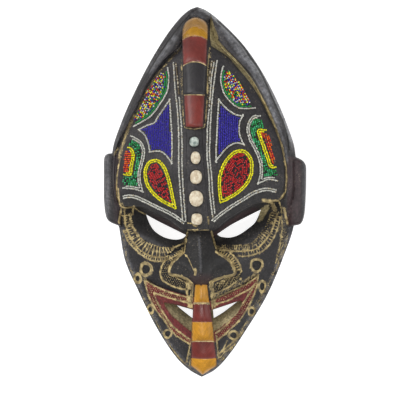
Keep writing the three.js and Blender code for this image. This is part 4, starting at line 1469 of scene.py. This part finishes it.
def wood_material():
    """Painted black wood: grain, dust and flecks, worn paint on the bars, beige rubbed into the cuts."""
    s = Shader("carved_wood")
    flow = s.attribute("flow", "Vector")
    fibre = s.noise(0.85, 4, flow)
    mottle = s.noise(48, 3)
    speck = s.noise(620, 2)
    smudge = s.noise(170, 3)
    grain = s.noise(380, 4)
    colour = s.scaled(s.attribute("stain", "Color"), s.ramp(mottle, 0.3, 0.7, 0.82, 1.22))
    colour = s.scaled(colour, s.ramp(fibre, 0.3, 0.7, 0.84, 1.18))
    plain = s.ramp(s.attribute("gloss"), 0.64, 0.71, 1.0, 0.12)
    uneven = s.times(s.ramp(grain, 0.34, 0.66, -0.3, 0.34), plain)
    colour = s.scaled(colour, s.plus(1.0, uneven))
    dust = s.times(s.ramp(fibre, 0.56, 0.74), s.ramp(smudge, 0.45, 0.68, 0.0, 0.22))
    colour = s.blend(dust, colour, (0.13, 0.105, 0.075))
    fleck = s.times(s.ramp(speck, 0.6, 0.72, 0.0, 0.5), s.ramp(mottle, 0.42, 0.6))
    colour = s.blend(s.times(fleck, plain), colour, (0.24, 0.20, 0.14))
    rub = s.plus(s.times(s.attribute("worn"), 0.34), smudge)
    colour = s.blend(s.ramp(rub, 0.72, 0.92, 0.0, 0.4), colour, (0.46, 0.25, 0.19))
    rough_edge = s.plus(s.times(fibre, 0.5), s.times(speck, 0.5))
    level = s.plus(s.attribute("beige"), s.times(s.plus(rough_edge, -0.5), 1.5))
    beige = s.ramp(level, 0.38, 0.66)
    tone = s.blend(s.ramp(smudge, 0.36, 0.66), (0.205, 0.155, 0.075), (0.58, 0.455, 0.215))
    colour = s.blend(beige, colour, tone)
    s.fill(s.surface, {"Base Color": colour})
    rough = s.ramp(s.attribute("gloss"), 0.0, 1.0, 0.86, 0.22)
    rough = s.plus(rough, s.ramp(smudge, 0.3, 0.7, -0.05, 0.07))
    rough = s.plus(rough, s.times(beige, 0.25))
    s.fill(s.surface, {"Roughness": rough, "Specular IOR Level": 0.4})
    relief = s.plus(s.times(fibre, 0.7), s.times(speck, 0.3))
    s.bump(s.times(relief, plain), 0.4, 0.0006)
    return s.material


def bead_material(name, colour):
    """Glass of one colour, each bead a little lighter or darker and some of them dirty."""
    s = Shader(name)
    shade = s.times(s.attribute("tint"), s.ramp(s.noise(900, 2), 0.3, 0.7, 0.86, 1.12))
    dirt = s.ramp(s.noise(95, 3), 0.52, 0.78, 0.0, 0.3)
    base = s.blend(dirt, colour, tuple(0.55 * v + 0.02 for v in colour))
    s.fill(s.surface, {"Base Color": s.scaled(base, shade), "Roughness": 0.25})
    return s.material


def stone_material(name, light, dark, spot):
    """Polished stone, swirled between two colours, with spots of a third."""
    s = Shader(name)
    swirl = s.noise(260, 5)
    colour = s.blend(s.ramp(swirl, 0.36, 0.62), dark, light)
    colour = s.blend(s.ramp(s.noise(520, 3), 0.58, 0.72, 0.0, 0.75), colour, spot)
    s.fill(s.surface, {"Base Color": colour, "Roughness": s.ramp(swirl, 0.3, 0.7, 0.5, 0.3)})
    s.bump(swirl, 0.4, 0.0008)
    return s.material


# Beads

def bead_template():
    """A barrel bead with a dimple at each end, its hole along the first axis."""
    profile = [(-1, 0.5), (-0.75, 0.88), (0, 1.0), (0.75, 0.88), (1, 0.5)]
    sides = 8
    verts = [(a, r * math.cos(t), r * math.sin(t)) for a, r in profile
             for t in np.arange(sides) * 2 * math.pi / sides]
    verts += [(-0.8, 0, 0), (0.8, 0, 0)]
    faces = []
    for i in range(len(profile) - 1):
        for s in range(sides):
            a, b = i * sides + s, i * sides + (s + 1) % sides
            faces += [(a, b, b + sides), (a, b + sides, a + sides)]
    last = (len(profile) - 1) * sides
    for s in range(sides):
        n = (s + 1) % sides
        faces += [(n, s, len(verts) - 2), (last + s, last + n, len(verts) - 1)]
    return np.array(verts), np.array(faces)[:, ::-1]


TEMPLATE, TEMPLATE_FACES = bead_template()


def forehead_slope(x, y):
    """How steeply the forehead rises to the right and upwards."""
    e = 0.5
    right = (forehead(x + e, y) - forehead(x - e, y)) / (2 * e)
    up = (forehead(x, y + e) - forehead(x, y - e)) / (2 * e)
    return right, up


def bead_mesh(name, strung, materials, node, slot):
    """strung: rows of x, y, direction x, direction y, colour index."""
    strung = np.array(strung, float)
    x, y, dx, dy, kind = strung.T
    gx, gy = forehead_slope(x, y)
    normal = np.c_[-gx, -gy, np.ones(len(x))]
    normal /= np.linalg.norm(normal, axis=1)[:, None]
    axis = np.c_[dx, dy, gx * dx + gy * dy]
    axis += rng.normal(0, 0.07, axis.shape)
    axis -= normal * np.sum(axis * normal, 1)[:, None]
    axis /= np.linalg.norm(axis, axis=1)[:, None]
    side = np.cross(normal, axis)
    radius = BEAD_RADIUS * rng.uniform(0.88, 1.0, len(x))
    half = BEAD_LENGTH / 2 * rng.uniform(0.78, 0.92, len(x))
    place = np.c_[x, y, forehead(x, y)] + normal * (radius * rng.uniform(0.8, 1.0, len(x)))[:, None]
    verts = (place[:, None]
             + axis[:, None] * (TEMPLATE[:, 0] * half[:, None])[:, :, None]
             + side[:, None] * (TEMPLATE[:, 1] * radius[:, None])[:, :, None]
             + normal[:, None] * (TEMPLATE[:, 2] * radius[:, None])[:, :, None])
    faces = TEMPLATE_FACES[None] + (np.arange(len(x)) * len(TEMPLATE))[:, None, None]
    slots = np.repeat(kind.astype(int), len(TEMPLATE_FACES))
    tint = np.repeat(rng.normal(1.0, 0.13, len(x)).clip(0.6, 1.3), len(TEMPLATE))
    made = mesh_object(name, verts.reshape(-1, 3), faces.reshape(-1, 3), materials,
                       [("tint", "FLOAT", tint)], slots, 0)
    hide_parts(node)
    return len(x)


def strung_along(line, pick):
    """Beads one after another along a line; pick gives each bead's colour index."""
    line = even(line, 0.4)
    whole = lengths(line)[-1]
    at = np.arange(BEAD_LENGTH / 2, whole, BEAD_LENGTH)
    way = at_lengths(line, np.clip(at + 0.8, 0, whole)) - at_lengths(line, np.clip(at - 0.8, 0, whole))
    way /= np.hypot(*way.T)[:, None] + 1e-9
    spots = at_lengths(line, at) + rng.normal(0, BEAD_WOBBLE, (2, len(at))).T
    return [(*spot, *run, pick()) for spot, run in zip(spots, way)]


def string(points, pick):
    return strung_along(smooth(points), pick)


def beside(points, pick):
    """Two strings, one on each side of a line."""
    line, by = smooth(points), BEAD_PITCH / 2 + 0.1
    return strung_along(offset(line, by), pick) + strung_along(offset(line, -by), pick)


def choose(**weights):
    """A function that picks a glass by weight; among many it draws once more if it repeats the last."""
    share = np.array(list(weights.values()), float)
    index = [GLASS_ORDER.index(name) for name in weights]
    last = [None]

    def draw():
        return index[int(rng.choice(len(index), p=share / share.sum()))]

    def pick():
        got = draw()
        if got == last[0] and len(index) > 4:
            got = draw()
        last[0] = got
        return got

    return pick


class Field:
    """A field of strung beads: its runs of outline, of which some carry border strings."""

    def __init__(self, *runs):
        self.runs = smooth_runs(runs)
        self.outline = joined(*runs)
        self.turn = winding(self.outline)
        self.beads = []

    def chosen(self, runs):
        """Some runs of the outline by number, or all of them for None."""
        return self.runs if runs is None else [self.runs[i] for i in runs]

    def border(self, order, pick, runs=None):
        """A string just inside some runs of the outline; order 0 is the outermost."""
        by = (order + 0.5) * BEAD_PITCH
        for line in self.chosen(runs):
            moved = sideways(line, self.turn * by, np.gradient(line, axis=0))
            least = by - 0.25 - 0.02 * by if order else -0.5
            moved = moved[inside_of(self.outline, moved) > least]
            if len(moved) > 2:
                self.beads += strung_along(moved, pick)
        return self

    def ring(self, order, pick):
        """A closed string inside the whole outline."""
        line = offset(even(closed_up(self.outline), 0.6)[:-1], (order + 0.5) * BEAD_PITCH, True)
        if len(line) > 6:
            self.beads += strung_along(closed_up(line), pick)
        return self

    def fill(self, angle, pick, strings, bordered=None, ragged=0.0, clear_of=None):
        """Parallel strings over the rest of the field, inside so many border strings."""
        turn = math.radians(angle)
        run = np.array([math.cos(turn), math.sin(turn)])
        across = np.array([-run[1], run[0]])
        u, v = self.outline @ run, self.outline @ across
        for w in np.arange(v.min() + BEAD_PITCH / 2, v.max(), BEAD_PITCH):
            at = np.arange(u.min(), u.max(), BEAD_LENGTH) + rng.uniform(0, BEAD_LENGTH)
            spots = at[:, None] * run + w * across + rng.normal(0, 0.12, (len(at), 2))
            keep = inside_of(self.outline, spots) > BEAD_RADIUS * 0.8 + rng.uniform(0, ragged, len(at))
            for line in self.chosen(bordered):
                gap, _ = measure(line, *spots.T, reach=30)
                keep &= gap > (strings + 0.22) * BEAD_PITCH
            if clear_of is not None:
                keep &= inside_of(clear_of, spots) < -BEAD_RADIUS * 0.9
            self.beads += [(*spot, *run, pick()) for spot in spots[keep]]
        return self


# Glass of the small beads
GLASS = {
    "white": (0.56, 0.555, 0.50), "cream": (0.52, 0.46, 0.34), "blue": (0.034, 0.023, 0.35),
    "yellow": (0.80, 0.74, 0.006), "red": (0.50, 0.018, 0.020), "black": (0.012, 0.012, 0.016),
    "green": (0.012, 0.25, 0.055), "orange": (0.74, 0.12, 0.008), "mint": (0.05, 0.42, 0.17),
    "umber": (0.14, 0.105, 0.06),
}
GLASS_ORDER = list(GLASS)

speckle = choose(white=3.2, blue=3.6, yellow=3.2, red=1.9, green=1.3, orange=1.5, black=0.6)
white_string = choose(white=9, cream=1)


def speckled(*runs, angle):
    """Speckled field with a white, a green and a mixed string along its first run."""
    field = Field(*runs)
    field.border(0, white_string, [0]).border(1, choose(green=1), [0])
    field.border(2, choose(green=3, white=0.4, red=0.5, yellow=0.5, blue=0.6), [0])
    return field.fill(angle, speckle, 2.6, [0], 0.6).beads


def blue(*runs):
    """Blue field with a white border."""
    return Field(*runs).border(0, white_string).fill(90, choose(blue=1), 1).beads


def teardrop(run, angle=None):
    """Red and black drop in two yellow rings, strung straight at an angle or else in rings too."""
    field = Field(run)
    field.ring(0, choose(yellow=1)).ring(1, choose(yellow=1))
    pick = choose(red=7, black=3.2)
    if angle is not None:
        return field.fill(angle, pick, 2).beads
    for order in range(2, 9):
        field.ring(order, pick)
    return field.beads


def green(runs, inset_runs, angle, inset_angle, inset_pick):
    """Green and black field, with white strings on its inner side and its foot, and an orange inset."""
    field = Field(*runs)
    inset = Field(*inset_runs)
    for order in (0, 1):
        field.border(order, white_string, [1, 2])
        inset.border(order, choose(yellow=1), [1])
    field.fill(angle, choose(green=4, mint=4, black=2.6), 1.8, [1, 2], 0.4, inset.outline)
    inset.fill(inset_angle, inset_pick, 1.75, [1], 0.2)
    return field.beads + inset.beads


def all_beads():
    glass = [bead_material(name + "_glass", colour) for name, colour in GLASS.items()]
    counts = []

    def made(name, beads, node, slot):
        counts.append(bead_mesh(name, beads, glass, node, slot))

    made("speckled_strings_left", speckled(
        [(-43, 148.5), (-41.5, 137), (-41.8, 128.5), (-43.6, 119), (-52, 104), (-60.9, 92), (-67.7, 86)],
        [(-86.5, 75.5), (-85, 85), (-79, 100), (-68, 122.5), (-56, 140)],
        angle=62), "speckled_beads_left", "speckled_glass")
    made("speckled_strings_right", speckled(
        [(20.4, 150.2), (17.6, 139.7), (17.4, 129.7), (20.9, 117.7), (28.4, 106.7), (37.4, 99.7),
         (45.9, 98)],
        [(60.9, 98.7), (52.9, 112.2), (43.9, 126.7), (33.4, 141.2)],
        angle=118), "speckled_beads_right", "speckled_glass")
    made("blue_strings_left", blue(
        [(-41, 112.5), (-50, 99), (-57, 89), (-60.5, 83), (-70, 79.5)],
        [(-81, 74), (-73.5, 68.5), (-69.5, 61), (-67.5, 54)],
        [(-66.5, 46), (-59, 47.2), (-52, 46.5), (-45.5, 41)],
        [(-38.5, 31), (-37.8, 48), (-38, 70), (-39.5, 95)],
    ), "blue_beads_left", "blue_glass")
    made("blue_strings_right", blue(
        [(15.2, 112.5), (13.6, 88), (12.6, 65.5), (11.7, 50)],
        [(11.9, 33.5), (18, 41.5), (24.6, 49.4), (31, 54.6), (39, 57)],
        [(48.4, 54), (43.6, 63.6), (41.5, 72), (42, 82)],
        [(46, 91.5), (38, 92.3), (28.4, 98), (21, 105)],
    ), "blue_beads_right", "blue_glass")
    made("red_strings_left", teardrop([
        (-32.2, -22.5), (-35.5, -8), (-38.5, 6), (-42, 19.5), (-46.5, 30.5), (-52.5, 37.5), (-59, 39.5),
        (-68, 36), (-72.5, 27), (-72.8, 17.5), (-69.5, 6), (-61.5, -4.5), (-51, -13)], 122),
        "red_beads_left", "red_glass")
    made("red_strings_right", teardrop([
        (16.9, -14.8), (28, -9.8), (39.2, -3), (49.6, 6.8), (56, 18.3), (57.5, 28.8), (56.5, 39),
        (50.5, 47.7), (42.6, 51), (33.2, 48.4), (24, 39.6), (17.4, 27), (14.6, 14.3), (14.9, 0)]),
        "red_beads_right", "red_glass")
    made("green_strings_left", green(
        [[(-89, 68.5), (-92.5, 56.5), (-96.5, 42.5), (-98, 19.5)],
         [(-98, 3.5), (-85, 2.5)],
         [(-72, -1.5), (-73.5, 5), (-75.5, 13), (-75.5, 22), (-73, 33), (-70.7, 44), (-71, 52), (-76, 61)]],
        [[(-92.5, 54), (-96.5, 41)],
         [(-97.5, 19.5), (-87, 19.5), (-85, 31), (-83, 40), (-83.2, 47), (-87.5, 53)]],
        80, 0, choose(orange=6, red=2.6, blue=0.2)), "green_beads_left", "green_glass")
    made("green_strings_right", green(
        [[(65.8, 91.3), (70.3, 79.8), (75.8, 65.8), (81.3, 49.8), (85.8, 24.8)],
         [(86.3, 11.8), (78.3, 13.8), (71.8, 12.8)],
         [(60.5, 7.8), (64.2, 21.8), (63.2, 35.8), (57.6, 49.8), (51, 62.8), (48.5, 75.8), (52.4, 86.8),
          (58.3, 91.6)]],
        [[(73.8, 74.3), (79.3, 57.8), (83.3, 39.8)],
         [(84.8, 28.3), (76.3, 28.8), (71.3, 41.8), (66.3, 55.8), (61.3, 69.8), (63.8, 75.3)]],
        104, 108, choose(orange=5.5, red=2.4, umber=1.2)), "green_beads_right", "green_glass")
    left_pair = string([(-37.2, 154), (-36.2, 140), (-35, 122.4), (-33.6, 108), (-32.2, 93), (-31.1, 72),
                        (-30.8, 26.8), (-29.6, 7.6), (-26.4, -32.5)], white_string)
    left_pair += string([(-30.4, 113), (-27.9, 80), (-27, 55), (-27, 30), (-25.7, 3), (-22.6, -36)],
                        white_string)
    left_pair += string([(-34.4, 153.8), (-32.3, 134), (-30.6, 115)], choose(umber=5, cream=3))
    left_pair += beside([(-97.5, -6.5), (-88, -5), (-77.5, -8), (-71, -11.1), (-60.3, -16.4), (-50.3, -21.1),
                         (-38.8, -26.8), (-31.1, -31.8), (-24.3, -36.8)], white_string)
    made("white_strings_left", left_pair, "white_beads_left", "white_glass")
    dusty = choose(white=7, cream=3, umber=1)
    right_pair = string([(10.6, 156), (8.4, 142.4), (6.8, 130.6), (6.1, 118), (4.9, 100.5)], dusty)
    right_pair += string([(7.8, 156), (5.8, 142), (4.4, 129)], choose(umber=5, cream=2))
    right_pair += string([(4.8, 98.5), (2.9, 80), (2.4, 66), (2.2, 42.5), (4.3, 19.6), (5.5, -3.4),
                          (8.8, -30)], white_string)
    right_pair += string([(14.2, 157), (10.9, 134.4), (8.4, 111.5), (6.6, 88.4), (5.7, 65.5), (5.2, 42.5),
                          (7.5, 19.6), (8.9, -3.4), (11.7, -26.4)], white_string)
    right_pair += beside([(84.5, 1), (72, 3), (58, -1), (44, -9.5), (28, -19.5), (14, -30), (8.5, -35.5)],
                         white_string)
    made("white_strings_right", right_pair, "white_beads_right", "white_glass")
    print("small beads", sum(counts))


# Large beads down the middle

def stone(number, material):
    """An uneven, slightly squared nugget that fills the space of its solid."""
    node = "centre_bead_%d" % number
    low, high = (np.array(corner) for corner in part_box(node))
    mesh = bmesh.new()
    bmesh.ops.create_icosphere(mesh, subdivisions=5, radius=1)
    ball = np.array([v.co[:] for v in mesh.verts])
    faces = np.array([[v.index for v in face.verts] for face in mesh.faces])
    mesh.free()
    square = 3.0 if number == 5 else 2.2
    size = np.sum(np.abs(ball) ** square, 1) ** (-1 / square)
    x, y, z = (ball * 10 + number * 7).T
    dents = 0.045 * waves(x + 3 * z, y - z, 17) + 0.018 * waves(x - z, y + 2 * z, 5)
    shape = ball * (size * (1 + dents))[:, None]
    shape = (shape - shape.min(0)) / np.ptp(shape, axis=0)
    verts = (low + shape * (high - low)) / MM
    made = mesh_object("stone_bead_%d" % number, verts, faces, [material], flat_from=0)
    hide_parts(node)


def all_stones():
    cream = stone_material("cream_stone", (0.68, 0.61, 0.46), (0.50, 0.40, 0.27), (0.74, 0.70, 0.60))
    grey = stone_material("grey_stone", (0.46, 0.52, 0.47), (0.16, 0.21, 0.19), (0.62, 0.66, 0.61))
    stone(1, grey)
    for number in range(2, 6):
        stone(number, cream)


# Scene

WORLD_LIGHT = 0.40
FLOOR_GLOW = 0.88
FLOOR_SHADE = 0.45
FLOOR_REACH = 4.0
FLOOR_DROP = 0.0005
CAMERA_PLACE = (-0.0060, -0.0097)
CAMERA_DISTANCE = 12.0
SENSOR_WIDTH = 36.0
CAMERA_FOCUS = 0.03
VIEW_WIDTH = 0.4782

# Each light: name, place, size, power; all but the strip are turned to the mask
LIGHTS = [
    ("key", (-1.3, 1.0, 1.7), (1.5, 1.5), 31),
    ("fill", (1.6, -0.4, 1.5), (1.3, 1.3), 12),
    ("strip", (-0.03, 0.1, 2.2), (0.07, 5.0), 9.5),
    ("spot", (-0.1, -0.75, 2.2), (0.2, 0.2), 9),
]


def studio():
    """World, floor, lights and camera."""
    scene = bpy.context.scene
    scene.view_settings.view_transform = "Standard"
    world = bpy.data.worlds.new("studio")
    scene.world = world
    world.use_nodes = True
    sky = world.node_tree.nodes["Background"]
    sky.inputs["Color"].default_value = (1, 1, 1, 1)
    sky.inputs["Strength"].default_value = WORLD_LIGHT
    mesh = bpy.data.meshes.new("floor")
    corners = [(-1, -1), (1, -1), (1, 1), (-1, 1)]
    verts = [(x * FLOOR_REACH, y * FLOOR_REACH, -FLOOR_DROP) for x, y in corners]
    mesh.from_pydata(verts, [], [(0, 1, 2, 3)])
    floor = placed("floor", mesh)
    paper = bpy.data.materials.new("floor_paper")
    paper.use_nodes = True
    shader = paper.node_tree.nodes["Principled BSDF"]
    shader.inputs["Base Color"].default_value = (*[FLOOR_SHADE] * 3, 1)
    shader.inputs["Roughness"].default_value = 0.9
    shader.inputs["Emission Color"].default_value = (1, 1, 1, 1)
    shader.inputs["Emission Strength"].default_value = FLOOR_GLOW
    mesh.materials.append(paper)
    floor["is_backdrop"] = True
    for name, place, size, power in LIGHTS:
        light = bpy.data.lights.new(name, "AREA")
        light.shape = "RECTANGLE"
        light.size, light.size_y = size
        light.energy = power
        lamp = placed(name, light)
        lamp.location = place
        if name != "strip":
            lamp.rotation_euler = (-Vector(place)).to_track_quat("-Z", "Y").to_euler()
    camera = bpy.data.cameras.new("camera")
    camera.sensor_width = SENSOR_WIDTH
    camera.lens = SENSOR_WIDTH * (CAMERA_DISTANCE - CAMERA_FOCUS) / VIEW_WIDTH
    camera.clip_end = 100
    eye = placed("camera", camera)
    eye.location = (*CAMERA_PLACE, CAMERA_DISTANCE)
    scene.camera = eye


studio()
verts, faces, looks = whole_body()
body = mesh_object("carved_mask", verts, faces, [wood_material()], looks)
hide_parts("mask_body")
print("body triangles", len(faces))
all_beads()
all_stones()

sizes = [list(corner) for box in (cad_box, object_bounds()) for corner in box]
